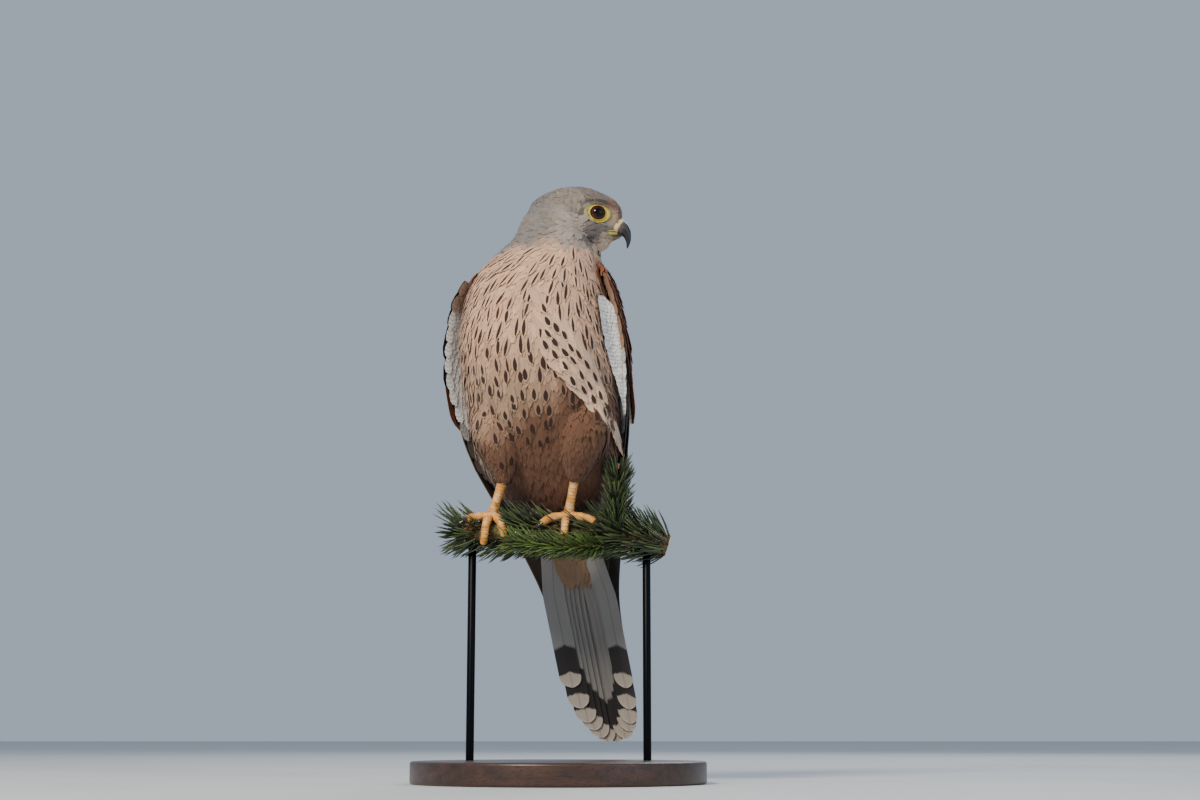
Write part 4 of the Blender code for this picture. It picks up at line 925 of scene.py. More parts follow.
# Dark of the folded wing below the white lining: the primaries' dark edge, deepened as painted shade.
MARK_DARK = "#33211a"
LINING_WHITE = "#e2e4e6"
LINING_DARK_AND_SHADE = "#4b4340"
SHOULDER = "#8a7465"
SIDE_BROWN = "#9a7558"
FLANK_PALE = "#d6bda2"
# The moustache: its middle's distance ahead at the height where it starts, and how it leans
MOUSTACHE_AHEAD, MOUSTACHE_LEAN, MOUSTACHE_TOP = 15.0, 0.33, -6.0


def step_up(low, high, value):
    """A smooth step: 3 x^2 - 2 x^3 of the value's share of the way from low to high."""
    x = np.clip((value - low) / (high - low), 0.0, 1.0)
    return x * x * (3 - 2 * x)


def from_head(points):
    """Forward, side and up of world points in the head's own axes."""
    return np.moveaxis((points - np.asarray(HEAD_CENTRE)) @ head_axes().T, -1, 0)


def mixed(under, over, share):
    """One colour over another: under (1 - share) + over share."""
    return under * (1 - share) + over * share


def off_moustache(forward, up):
    """How far a place on the head's side view lies from the moustache's middle line."""
    return np.abs(forward - (MOUSTACHE_AHEAD + MOUSTACHE_LEAN * (up - MOUSTACHE_TOP)))


def plumage(points):
    """Linear colour at world points: each ground colour mixed over those before it, by smooth steps of the
    place on the bird. Borders across the body waver by a ripple of two sines."""
    q, p, h = from_bird(points)
    f, s, u = from_head(points)
    ripple = 1.6 * np.sin(0.31 * q + 0.17 * h) + 1.1 * np.sin(0.43 * h - 0.2 * p)
    colour = np.broadcast_to(linear(BREAST), (*points.shape[:-1], 4)).copy()

    def lay_over(code, share):
        colour[...] = mixed(colour, linear(code), share[..., None])

    # Painted shade: the underparts darken downwards to the vent and over the front of the thighs.
    lay_over(BELLY_AND_SHADE, step_up(112.0, 62.0, h + 2 * ripple))
    # Painted shadow and painted light: the dark vent colour reaches 18 mm higher on the viewer's right, under
    # the flank curtain, and 20 mm lower on the viewer's left.
    under = 20.0 * step_up(-10.0, -34.0, points[..., 0]) - 18.0 * step_up(-8.0, 8.0, points[..., 0])
    lay_over(VENT_PAINTED_SHADE, step_up(66.0, 34.0, h + 2 * ripple + under))
    thigh = step_up(74.0, 52.0, h + ripple + 0.6 * under) * step_up(45.0, 38.0, np.abs(points[..., 0] + 9.0))
    lay_over(THIGH_PAINTED_SHADE, thigh * step_up(2.0, -2.0, points[..., 1]))
    lay_over(CHESTNUT, step_up(6.0, 14.0, p + 0.35 * np.maximum(0.0, h - 150.0)) * step_up(60.0, 70.0, h))
    lay_over(RUMP, step_up(14.0, 24.0, p) * step_up(66.0, 56.0, h))
    level, middle, half = np.asarray(BODY_SECTIONS)[:, :3].T
    half = np.interp(h, level, half)
    flesh = np.abs(q - np.interp(h, level, middle)) - half
    shoulder = step_up(-0.2, -0.08, flesh / half) * step_up(-14.0, -8.0, p)
    shoulder = shoulder * step_up(130.0, 138.0, h) * step_up(158.0, 152.0, h)
    level, _, lead = np.asarray(WING_SECTIONS)[:, :3].T
    behind = p - np.interp(h, level, lead)
    flesh = step_up(-0.6, 0.4, flesh) * step_up(-4.0, -1.0, behind) * step_up(8.0, 4.0, behind)
    # Painted shade: the arm's skin near the leading edge is dark where neither the shoulder colour nor the
    # white lining covers it.
    lay_over(LINING_DARK_AND_SHADE, flesh)
    lay_over(SHOULDER, flesh * step_up(120.0, 128.0, h))
    lay_over(LINING_WHITE, flesh * step_up(54.0, 64.0, h) * step_up(128.0, 120.0, h))
    rise = 0.30 * (np.minimum(p, 0.0) + 10.0) - 0.25 * np.maximum(p, 0.0)
    hood = step_up(281.0, 294.0, points[..., 2] + rise + ripple)
    lay_over(HOOD, hood)
    lay_over(NAPE, hood * step_up(-8.0, -18.0, f))
    lay_over(CHESTNUT, shoulder)
    lay_over(CHEEK, hood * step_up(3.0, -2.0, u) * step_up(-14.0, -4.0, f) * step_up(15.0, 8.0, f))
    aside = np.abs(s)
    throat = step_up(3.0, 9.0, f + 0.5 * (u + 14)) * step_up(-9.0, -14.0, u)
    throat = throat * step_up(10.5, 6.5, aside - 0.25 * (f - 10.0))
    lay_over(THROAT, throat * step_up(283.0, 289.0, points[..., 2]))
    beard = step_up(5.6, 2.2, off_moustache(f, u)) * step_up(-4.0, -7.0, u) * step_up(-23.0, -18.0, u)
    lay_over(MOUSTACHE, beard * step_up(4.5, 7.5, aside))
    mottle = 0.86 + 0.14 * np.sin(1.9 * s + 0.8 * u)
    lay_over(FOREHEAD, step_up(15.5, 20.5, f) * step_up(-5.0, 0.0, u) * mottle)
    lores = step_up(16.0, 18.5, f) * step_up(5.0, 0.5, u) * step_up(-8.0, -5.5, u)
    lay_over(LORES, lores * step_up(3.0, 6.5, aside))
    stroke = np.abs(u - (-0.4 + 0.10 * f))
    lay_over(EYE_STROKE_AND_BROW_SHADE, step_up(2.4, 1.0, stroke) * step_up(-5.0, 2.0, f) * step_up(10.0, 7.5, f) * 0.8)
    # Painted shade under the brow: a dark arc over the eye.
    over = np.abs(u - (6.4 - 0.022 * (f - 13.0) ** 2))
    lay_over(EYE_STROKE_AND_BROW_SHADE, step_up(1.6, 0.6, over) * step_up(3.0, 6.0, f) * step_up(21.0, 18.0, f) * 0.85)
    return colour


# Sanded form under the feathers, tinted to match them so that no pale gap shows between the vanes, and dimmed
# as painted shade deep in those gaps.
tinted, tree, shader = new_finish("tinted_body_form", Roughness=0.9)
ground = add(tree, "Attribute", attribute_name="ground")
where = add(tree, "TexCoord").outputs["Object"]
down = add(tree, "TexNoise", {"Vector": where, "Scale": 900.0, "Detail": 3.0})
# Painted shade: the tint is dimmed to 70 to 95 percent, so the gaps between vanes read darker.
gap_shade = add(tree, "MapRange", {"Value": down, "To Min": 0.7, "To Max": 0.95})
deep = add(tree, "VectorMath", {0: ground.outputs["Color"], "Scale": gap_shade}, operation="SCALE")
feed(shader, {"Base Color": deep})
set_attribute(skin, "ground", plumage(body_points), "FLOAT_COLOR")
show(skin, tinted, "buff_plumage", "head", "neck", "torso", "thigh_left", "thigh_right")


# 8. Body feathers
# Small contour feathers, each a thin closed vane with a frayed tip, laid from the root down the lie of the
# plumage so that each row covers the roots of the next. They are shortest at the bill and longest on the
# flank, and dark-marked ones lie among the plain ones on the breast.

FEATHER_THICK = 0.12
BARB_PITCH = 0.3
BAR_GREY = "#4a4644"
WORN_BUFF = "#a58a6e"
SOFTNESS = 0.75
seed = np.random.default_rng(7)


def uneven(count):
    """Factors close to 1, by which like feathers differ in size."""
    return seed.uniform(0.85, 1.15, count)


def on_skin(points):
    """The nearest places on the skin to some points, and the skin's normals there, from a cloud of loose
    points that is wrapped onto the skin once at 0 and once 1 mm above it."""
    flat = points.reshape(-1, 3)
    found = []
    for lift in (0.0, 1.0):
        cloud = mesh_piece("cloud", flat, [])
        settings = {"wrap_method": "NEAREST_SURFACEPOINT", "wrap_mode": "ABOVE_SURFACE", "offset": lift * MM}
        settled(cloud, ("SHRINKWRAP", {"target": skin, **settings}))
        found.append(points_of(cloud).reshape(points.shape))
        bpy.data.objects.remove(cloud, do_unlink=True)
    return found[0], unit(found[1] - found[0])


# One feather: where its 25 upper points lie across (u) and along (v), then 3 points of its underside.
U_TOP = np.array([-1.0, -0.52, 0.0, 0.52, 1.0])
V_ROWS = np.array([0.0, 0.3, 0.62, 0.86, 1.0])
OUTLINE = np.array([0.42, 0.9, 1.0, 0.78, 0.3])
FRAY = np.array([-0.10, -0.015, 0.0, -0.03, -0.12])
RAGGED = np.array([0.0, 0.0, 0.3, 1.0, 1.0])
UPPER_QUADS = [(k, k + 1, k + 6, k + 5) for k in range(20) if k % 5 < 4]
UNDER_QUADS = [(5, 10, 26, 25), (25, 26, 14, 9), (10, 15, 27, 26), (26, 27, 19, 14)]
TEMPLATE_QUADS = np.array(UPPER_QUADS + UNDER_QUADS)
RIM_ROOT = [(5, 0), (0, 1), (1, 2), (2, 3), (3, 4), (4, 9)]
RIM_TIP = [(19, 24), (24, 23), (23, 22), (22, 21), (21, 20), (20, 15)]
TEMPLATE_TRIS = np.array([(25, b, a) for a, b in RIM_ROOT] + [(27, b, a) for a, b in RIM_TIP])


def dressed(piece, grid, places, looks):
    """Gives vanes of one kind their maps: grid is across and along for each point of one vane. The bake map
    holds each vane as a small patch at its root's place, and looks are a colour or a vector for each vane."""
    per, count = len(grid), len(places)
    patch = (np.clip(places, 0.003, 0.994)[:, None] + 0.003 * grid[None]).reshape(-1, 2)
    corners = np.empty(len(piece.data.loops), np.int32)
    piece.data.loops.foreach_get("vertex_index", corners)
    for label, uv in (("vane", np.tile(grid, (count, 1))), ("OFBake", patch)):
        layer = piece.data.uv_layers.new(name=label)
        layer.data.foreach_set("uv", uv[corners].astype(np.float32).ravel())
    for key, values in looks.items():
        kind = "FLOAT_COLOR" if values.shape[1] == 4 else "FLOAT_VECTOR"
        set_attribute(piece, key, np.repeat(values, per, axis=0), kind)
    return piece


def feathers(name, spine, normals, half, places, looks, camber=0.1, sway=0.0):
    """Feathers as one mesh. The spine is 5 points for each feather from root to tip. A point of a vane is
    spine + half outline u side + normal half camber (1 - u^2), and its underside lies a thickness below.
    Shading normals are three parts those of the surface under the vane to one part its own, as soft plumage
    scatters light. Places are each root's share of the way round and along its part."""
    count = len(spine)
    along = unit(np.gradient(spine, axis=1))
    side = unit(np.cross(along, normals))
    rise = np.cross(side, along)
    jag = FRAY * seed.uniform(0.4, 1.7, (count, 5)) + seed.uniform(-0.035, 0.035, (count, 5))
    half = np.broadcast_to(half, count)[:, None, None]
    u = U_TOP * OUTLINE[:, None] + seed.uniform(-0.05, 0.05, (count, 5, 5)) * RAGGED[:, None]
    bow = camber * (1 - U_TOP**2)
    tip_run = np.linalg.norm(spine[:, 4] - spine[:, 3], axis=1)[:, None] / 0.14
    slide = np.zeros((count, 5, 5))
    slide[:, 4] = jag * tip_run
    slide[:, 3] = 0.3 * jag * tip_run
    curl = np.broadcast_to(sway, count)[:, None, None] * V_ROWS[:, None] ** 2
    top = spine[:, :, None] + (half * (u + curl))[..., None] * side[:, :, None]
    top = top + (half * bow)[..., None] * rise[:, :, None] + slide[..., None] * along[:, :, None]
    under = spine + (half * camber - FEATHER_THICK) * rise + half * curl * side
    points = np.concatenate([top.reshape(count, 25, 3), under[:, 1:4]], axis=1)
    shift = 28 * np.arange(count)[:, None, None]
    quads, tris = (TEMPLATE_QUADS + shift).reshape(-1, 4), (TEMPLATE_TRIS + shift).reshape(-1, 3)
    piece = mesh_piece(name, points, [quads, tris])
    own = rise[:, :, None] + 0.5 * U_TOP[:, None] * side[:, :, None]
    soft = unit((1 - SOFTNESS) * own + SOFTNESS * normals[:, :, None]).reshape(count, 25, 3)
    shading = np.concatenate([soft, -rise[:, 1:4]], axis=1).reshape(-1, 3)
    piece.data.normals_split_custom_set_from_vertices(shading.astype(np.float32))
    grid_u = np.concatenate([np.tile(0.5 + 0.5 * U_TOP, 5), [0.5, 0.5, 0.5]])
    grid_v = np.concatenate([np.repeat(V_ROWS, 5), V_ROWS[1:4]])
    return dressed(piece, np.stack([grid_u, grid_v], axis=-1), places, looks)


def body_lie(points):
    """The way the plumage lies: out from the throat on the breast and from the crown on the back of the
    neck, turning to straight down and slightly back over the belly."""
    _, p, h = from_bird(points)
    throat = unit(points - np.array([7.0, -20.0, 304.0]))
    crown = unit(points - np.array([6.0, -6.0, 345.0]))
    behind = step_up(-12.0, 6.0, p)[..., None]
    back = np.array([math.sin(BODY_YAW), math.cos(BODY_YAW), 0.0])
    down = unit(np.array([0.0, 0.0, -1.0]) + back * 0.22)
    return unit(mixed(down, mixed(throat, crown, behind), step_up(88.0, 168.0, h)[..., None]))


def head_lie(points):
    """The way the head's feathers lie: back from the bill, and more and more down towards the nape."""
    f, s, u = from_head(points)
    axes = head_axes()
    drop = 0.10 + 0.25 * step_up(6.0, -12.0, u) + 1.3 * step_up(-6.0, -26.0, f)
    away = 0.35 * step_up(8.0, 20.0, f)
    return unit(-axes[0] - drop[..., None] * axes[2] + (away * np.sign(s))[..., None] * axes[1])


def laid(roots, lie_at, length, lift, flow=1.0, arch=0.8):
    """Spines of 5 points and their normals: from each root along the lie, kept square to the skin's normal,
    wrapped back onto the skin, and raised there from 0.1 mm at the root to the lift at the tip by v^arch.
    Also the skin under the last but one point of each."""
    base, normal = on_skin(roots)
    lie = lie_at(base)
    lie = unit(lie - np.einsum("ij,ij->i", lie, normal)[:, None] * normal)
    wobble = np.radians(seed.normal(0.0, 5.0 * flow, len(base)))[:, None]
    lie = lie * np.cos(wobble) + np.cross(normal, lie) * np.sin(wobble)
    place, up = on_skin(base[:, None] + lie[:, None] * (V_ROWS * length[:, None])[..., None])
    height = 0.1 + (lift[:, None] - 0.1) * V_ROWS**arch
    return place + up * height[..., None], up, place[:, 3]


def ring_roots(rings, pitch, jitter):
    """Roots set at an even pitch round each ring, every other ring by half a pitch, and the share of the way
    round for each. Rings are read by arc length, and each has as many roots as fit its pitch."""
    found, turns, rows = [], [], []
    for k, ring in enumerate(rings):
        closed = np.concatenate([ring, ring[:1]])
        run = np.concatenate([[0.0], np.cumsum(np.linalg.norm(np.diff(closed, axis=0), axis=1))])
        count = max(3, int(round(run[-1] / pitch[k])))
        share = (np.arange(count) + 0.5 * (k % 2) + seed.uniform(-jitter, jitter, count)) / count % 1.0
        found.append(points_at(*(np.interp(share * run[-1], run, line) for line in closed.T)))
        turns.append(share)
        rows.append(np.full(count, (k + 0.5) / len(rings)))
    return np.concatenate(found), np.stack([np.concatenate(turns), np.concatenate(rows)], axis=-1)


def even_rings(rings_at, last, gap, sides=120, *form):
    """Ring after ring of a form, so placed that they lie a gap apart along the surface, on the mean of their
    points. The gap is a list of sizes, each for its share of the way."""
    fine = np.linspace(0.0, last, 400)
    rings = rings_at(fine, sides, *form)
    step = np.linalg.norm(np.diff(rings, axis=0), axis=-1).mean(axis=1)
    run = np.concatenate([[0.0], np.cumsum(step / np.interp(fine[1:], np.linspace(0, last, len(gap)), gap))])
    return rings[np.searchsorted(run, np.arange(0.5, run[-1], 1.0)).clip(0, 399)]


def near_skin(roots, places, reach):
    """Roots that lie within a reach of the skin, and their places."""
    snapped, _ = on_skin(roots)
    keep = np.linalg.norm(snapped - roots, axis=1) < reach
    return snapped[keep], places[keep]


def in_wing(points, low, high):
    """True for points between two heights that either wing covers: those behind its leading edge."""
    _, p, h = from_bird(points)
    levels = (-20.0, 20.0, 60.0, 90.0, 120.0, 145.0, 152.0)
    edge = np.interp(h, levels, (44.0, 34.0, 6.0, -4.0, -8.0, -6.0, 4.0))
    room = np.interp(h, (90.0, 108.0, 146.0, 154.0), (7.0, 3.0, 3.0, 7.0))
    return (p > edge + room) & (h > low) & (h < high)


def coat_finish(name, roughness=0.78, bar_pitch=0.0, rim=0.0):
    """Plumage: matt and soft. Barbs are drawn as fine slanting lines from the shaft at 0.3 mm, three times
    their true pitch so that they show; a mark is a dark drop along the shaft between two places; bars
    cross the vane at a pitch in mm; a rim is the share of worn buff along both edges."""
    soft = {"Sheen_Weight": 0.1, "Sheen_Roughness": 0.5, "Specular_IOR_Level": 0.25}
    made, tree, shader = new_finish(name, Roughness=roughness, **soft)
    ground = add(tree, "Attribute", attribute_name="ground")
    size = add(tree, "Attribute", attribute_name="size")
    mark = add(tree, "Attribute", attribute_name="mark")
    vane = add(tree, "UVMap", uv_map="vane")
    split = add(tree, "SeparateXYZ", {"Vector": vane})
    across = add(tree, "Math", [split.outputs["X"], 0.5], operation="SUBTRACT")
    away = add(tree, "Math", [across], operation="ABSOLUTE")
    spans = add(tree, "SeparateXYZ", {"Vector": size.outputs["Vector"]})
    out_mm = add(tree, "Math", [away, spans.outputs["X"]], operation="MULTIPLY")
    run_mm = add(tree, "Math", [split.outputs["Y"], spans.outputs["Y"]], operation="MULTIPLY")
    swept = add(tree, "Math", [out_mm, -1.6, run_mm], operation="MULTIPLY_ADD")
    fine = add(tree, "Math", [swept, 2 * math.pi / BARB_PITCH], operation="MULTIPLY")
    wave = add(tree, "Math", [fine], operation="SINE")
    barb = add(tree, "MapRange", {"Value": wave, "From Min": -1.0, "To Min": 0.9, "To Max": 1.04})
    own_place = add(tree, "CombineXYZ", {"X": fine, "Y": out_mm, "Z": spans.outputs["Z"]})
    ragged = add(tree, "TexNoise", {"Vector": own_place, "Scale": 0.6, "Detail": 2.0})
    limits = add(tree, "SeparateXYZ", {"Vector": mark.outputs["Vector"]})
    span = add(tree, "Math", [limits.outputs["Y"], limits.outputs["X"]], operation="SUBTRACT")
    into = add(tree, "Math", [split.outputs["Y"], limits.outputs["X"]], operation="SUBTRACT")
    share = add(tree, "Math", [into, span], operation="DIVIDE", use_clamp=True)
    skew = add(tree, "Math", [share, 1.5], operation="POWER")
    rest = add(tree, "Math", [1.0, skew], operation="SUBTRACT")
    swell = add(tree, "Math", [skew, rest], operation="MULTIPLY")
    round_off = add(tree, "Math", [swell, 0.5], operation="POWER")
    width = add(tree, "Math", [limits.outputs["Z"], 2.0], operation="MULTIPLY")
    broad = add(tree, "Math", [round_off, width], operation="MULTIPLY")
    worn = add(tree, "Math", [ragged, -0.9, broad], operation="MULTIPLY_ADD")
    worn = add(tree, "Math", [worn, 0.45], operation="ADD")
    inside = add(tree, "Math", [worn, out_mm], operation="SUBTRACT")
    edge = add(tree, "MapRange", {"Value": inside, "From Min": -0.15, "From Max": 0.15})
    some = add(tree, "Math", [limits.outputs["Z"], 0.01], operation="GREATER_THAN")
    cover = add(tree, "Math", [edge, some], operation="MULTIPLY")
    brighter = {"Value": split.outputs["Y"], "From Min": 0.1, "From Max": 1.0, "To Min": 0.88, "To Max": 1.04}
    tips = add(tree, "MapRange", brighter)
    fade = add(tree, "Math", [barb, tips], operation="MULTIPLY")
    plain = add(tree, "VectorMath", {0: ground.outputs["Color"], "Scale": fade}, operation="SCALE")
    final = add(tree, "MixRGB", {"Fac": cover, "Color1": plain, "Color2": linear(MARK_DARK)})
    if bar_pitch:
        bent = add(tree, "Math", [out_mm, 0.5, run_mm], operation="MULTIPLY_ADD")
        cross = add(tree, "Math", [bent, 2 * math.pi / bar_pitch], operation="MULTIPLY")
        swing = add(tree, "Math", [cross], operation="SINE")
        bar = add(tree, "MapRange", {"Value": swing, "From Min": 0.3, "From Max": 0.7, "To Max": 0.34})
        final = add(tree, "MixRGB", {"Fac": bar, "Color1": final, "Color2": linear(BAR_GREY)})
    if rim:
        pale = add(tree, "MapRange", {"Value": away, "From Min": 0.42, "From Max": 0.5, "To Max": rim})
        final = add(tree, "MixRGB", {"Fac": pale, "Color1": final, "Color2": linear(WORN_BUFF)})
    relief = add(tree, "Bump", {"Strength": 0.35, "Distance": 0.0001, "Height": wave})
    feed(shader, {"Base Color": final, "Normal": relief})
    return made


def varied(colours, spread):
    """Colours with each feather a little lighter or darker, and a little warmer or cooler."""
    light = np.exp(seed.normal(0.0, spread, (len(colours), 1)))
    warm = 1.0 + seed.normal(0.0, spread * 0.35, (len(colours), 1)) * np.array([[1.0, 0.0, -1.0, 0.0]])
    return np.clip(colours * light * warm, 0.0, 1.0)


def looks_of(ground, half, length, marks=None):
    """Looks of vanes: ground colours, sizes in mm with a random start for the ragged edges, and marks."""
    size = points_at(2 * half, length, seed.uniform(0.0, 50.0, len(length)))
    return {"ground": ground, "size": size, "mark": np.zeros(size.shape) if marks is None else marks}


def patch_of(
    name, roots, places, lie_at, length, half, lift, slot, marks=None, spread=0.07, flow=1.0, arch=0.8
):
    """Lays feathers at roots with their colours read off the plumage, and shows them as one piece."""
    spine, up, below = laid(roots, lie_at, length, lift, flow, arch)
    looks = looks_of(varied(plumage(below), spread), half, length, marks)
    sway = seed.normal(0.0, 0.35, len(roots))
    show(feathers(name, spine, up, half, places, looks, sway=sway), coat, slot)


def flank_share(q, h):
    """How much a place belongs to the flank: to the body's side, from the thigh to the shoulder."""
    return step_up(24.0, 38.0, np.abs(q)) * step_up(40.0, 60.0, h) * step_up(152.0, 140.0, h)


coat = coat_finish("contour_feathers")

# Breast, belly and neck
FLANK_LIFT = 1.9
rings = even_rings(body_rings, 13.0, (3.0, 3.0, 2.9, 2.8, 2.7, 2.6, 2.5, 2.3, 2.0, 1.7))
heights = from_bird(rings.mean(axis=1))[2]
pitch = np.interp(heights, (0.0, 60.0, 120.0, 160.0, 185.0), (2.3, 2.15, 1.95, 1.65, 1.4))
roots, places = ring_roots(rings, pitch, 0.35)
roots = roots + seed.uniform(-1.0, 1.0, (len(roots), 1)) * np.array([0.0, 0.0, 1.0])
roots, places = near_skin(roots, places, 5.0)
hidden = in_wing(roots, 70.0, 150.0)
roots, places = roots[~hidden], places[~hidden]
q, p, h = from_bird(roots)
low_part = h < 84.0
for label, pick in (("belly", low_part), ("breast", ~low_part)):
    rows, count = h[pick], pick.sum()
    length = np.interp(rows, (0.0, 60.0, 120.0, 158.0, 185.0), (13.0, 12.5, 11.0, 8.0, 5.5))
    length = length * seed.uniform(0.75, 1.2, count)
    levels = (0.0, 120.0, 160.0, 185.0)
    half = np.interp(rows, levels, (1.75, 1.65, 1.4, 1.1)) * seed.uniform(0.8, 1.15, count)
    lift = np.interp(rows, levels, (1.7, 1.5, 1.2, 0.9)) * seed.uniform(0.75, 1.15, count)
    lift = np.where(p[pick] > 20.0, 1.0, lift + FLANK_LIFT * flank_share(q[pick], rows))
    patch_of(f"coat_{label}", roots[pick], places[pick], body_lie, length, half, lift, "buff_plumage")

# Dark streaks of the breast, long and narrow and running out from the throat, and drops on belly and flank
STREAK_END = 0.94
rings = even_rings(body_rings, 13.0, (9.0, 9.0, 9.0, 9.0, 8.8, 8.4, 8.0, 7.6, 7.0, 6.6))
heights = from_bird(rings.mean(axis=1))[2]
pitch = np.interp(heights, (20.0, 80.0, 120.0, 160.0), (8.2, 7.4, 6.2, 5.2))
roots, places = ring_roots(rings, pitch, 0.3)
roots = roots + np.array([0.0, 0.0, 1.0]) * seed.uniform(-3.4, 3.4, len(roots))[:, None]
roots, places = near_skin(roots, places, 5.0)
q, _, h = from_bird(roots)
shown = ~in_wing(roots, -20.0, 150.0) & (h > 50.0 + 0.5 * np.maximum(-30.0, q))
shown = shown & (roots[:, 2] < 294.0) & ((roots[:, 0] < 14.0) | (h < 146.0))
roots, places, q, h = roots[shown], places[shown], q[shown], h[shown]
streak = step_up(88.0, 112.0, h + seed.normal(0.0, 7.0, len(h)))
length = np.interp(h, (60.0, 120.0, 165.0), (14.0, 15.5, 13.0))
half = 2.0 + 0.5 * (1 - streak)
mark_long = streak * seed.uniform(8.0, 12.0, len(h)) * np.interp(h, (120.0, 165.0), (1.0, 0.85))
mark_long = mark_long + (1 - streak) * seed.uniform(4.6, 6.8, len(h))
mark_half = streak * seed.uniform(0.7, 1.3, len(h)) * np.interp(h, (115.0, 155.0), (1.0, 0.6))
mark_half = mark_half + (1 - streak) * seed.uniform(1.1, 1.75, len(h))
marks = points_at(STREAK_END - mark_long / length, STREAK_END, mark_half)
lift = np.interp(h, (60.0, 120.0, 165.0), (2.2, 2.1, 1.8)) + FLANK_LIFT * flank_share(q, h)
patch_of(
    "coat_marked", roots, places, body_lie, length, half, lift, "buff_plumage", marks, flow=0.8, arch=0.35
)

# Flank feathers: long, loose and pale, with drops. They hang like a curtain over the thigh and the wing's
# edge on the bird's left, and end in a slanting line.
CURTAIN_TOP = (-5.5, 88.0)
CURTAIN_FOOT = (37.0, 43.0)
CURTAIN_ROWS, CURTAIN_ACROSS = 7, 24
DROP_END = 0.93


def drape():
    """A curtain over the front of the skin: its depth at a grid of x and h is cast along y onto the skin,
    takes the least of its neighbours within 3 mm on both axes, and is blurred twelve times."""
    x, h = np.meshgrid(np.arange(-30.0, 50.0, 1.0), np.arange(20.0, 170.0, 1.0), indexing="ij")
    cloud = mesh_piece("cloud", points_at(x, -120.0, PERCH_HEIGHT + h), [])
    settings = {"wrap_method": "PROJECT", "use_project_y": True, "use_positive_direction": True}
    settled(cloud, ("SHRINKWRAP", {"target": skin, **settings}))
    depth = points_of(cloud)[:, 1].reshape(x.shape)
    bpy.data.objects.remove(cloud, do_unlink=True)
    depth = np.where(depth < -100.0, 10.0, depth)
    for axis in (0, 1):
        for shift in (-2, -1, 1, 2):
            depth = np.minimum(depth, np.roll(depth, shift, axis=axis))
    for _ in range(12):
        for axis in (0, 1):
            depth = (np.roll(depth, 1, axis=axis) + depth + np.roll(depth, -1, axis=axis)) / 3
    return depth


curtain = drape()


def on_curtain(x, h, lift):
    """Places on the curtain at x and h, read between its grid lines and lifted towards the viewer."""
    a, b = np.clip(x + 30.0, 0.0, 78.0), np.clip(h - 20.0, 0.0, 148.0)
    i, j = a.astype(int), b.astype(int)
    a, b = a - i, b - j
    low, high = (mixed(curtain[i, k], curtain[i + 1, k], a) for k in (j, j + 1))
    return points_at(x, mixed(low, high, b) - lift, PERCH_HEIGHT + h)


def hung(x, h, lift):
    """Spines on the curtain and their normals, from the run across it and the run up it."""
    spine = on_curtain(x, h, lift)
    return spine, unit(np.cross(on_curtain(x + 1.0, h, lift) - spine, on_curtain(x, h + 1.0, lift) - spine))


rows = np.repeat(np.arange(CURTAIN_ROWS), CURTAIN_ACROSS)
share = np.tile(np.linspace(0.0, 1.0, CURTAIN_ACROSS), CURTAIN_ROWS) + 0.5 / CURTAIN_ACROSS * (rows % 2)
share = (share + seed.uniform(-0.012, 0.012, len(rows))) * (1.0 - 0.03 * rows)
across, down = np.subtract(CURTAIN_FOOT, CURTAIN_TOP)
tip_x = CURTAIN_TOP[0] + across * share - 1.9 * rows * (0.4 + 0.6 * share)
tip_h = CURTAIN_TOP[1] + down * share + 5.4 * rows + seed.uniform(-1.3, 1.3, len(rows))
length = (15.0 + 7.0 * share) * seed.uniform(0.9, 1.1, len(rows))
lean = np.radians(30.0 - 10.0 * share + seed.normal(0.0, 4.0, len(rows)))[:, None]
back_run = length[:, None] * (1 - V_ROWS)
drops = ((np.tile(np.arange(CURTAIN_ACROSS), CURTAIN_ROWS) + rows // 2) % 3 == 0) & (rows % 2 == 1)
rise = 2.6 + 0.8 * share - 0.2 * rows + 0.55 * drops
lift = 0.2 + rise[:, None] * V_ROWS**0.7 * seed.uniform(0.7, 1.1, (len(rows), 1)) ** (1 - drops[:, None])
spine, up = hung(tip_x[:, None] - back_run * np.sin(lean), tip_h[:, None] + back_run * np.cos(lean), lift)
marks = points_at(DROP_END - 6.0 / length, DROP_END, seed.uniform(1.15, 1.7, len(rows)) * drops)
half = 2.1 * uneven(len(rows))
looks = looks_of(None, half, length, marks)
looks["ground"] = varied(mixed(linear(BREAST), linear(FLANK_PALE), 0.15 + 0.5 * share[:, None]), 0.08)
places = np.stack([0.1 + 0.8 * share, 0.1 + 0.08 * rows], axis=-1)
sway = seed.normal(0.0, 0.3, len(rows))
show(feathers("coat_flank", spine, up, half, places, looks, sway=sway), coat, "buff_plumage")

# Lining feathers of the left wing that lie over the body's side, in a white leaf with soft bars
# Height over the perch, middle x, half width
LEAF = (
    (62.0, 38.4, 0.5),
    (74.0, 36.6, 1.8),
    (86.0, 34.4, 3.0),
    (98.0, 31.6, 4.4),
    (110.0, 29.2, 4.6),
    (117.0, 27.2, 3.8),
    (124.0, 24.6, 2.0),
    (130.0, 22.4, 0.4),
)
LEAF_ACROSS = 6

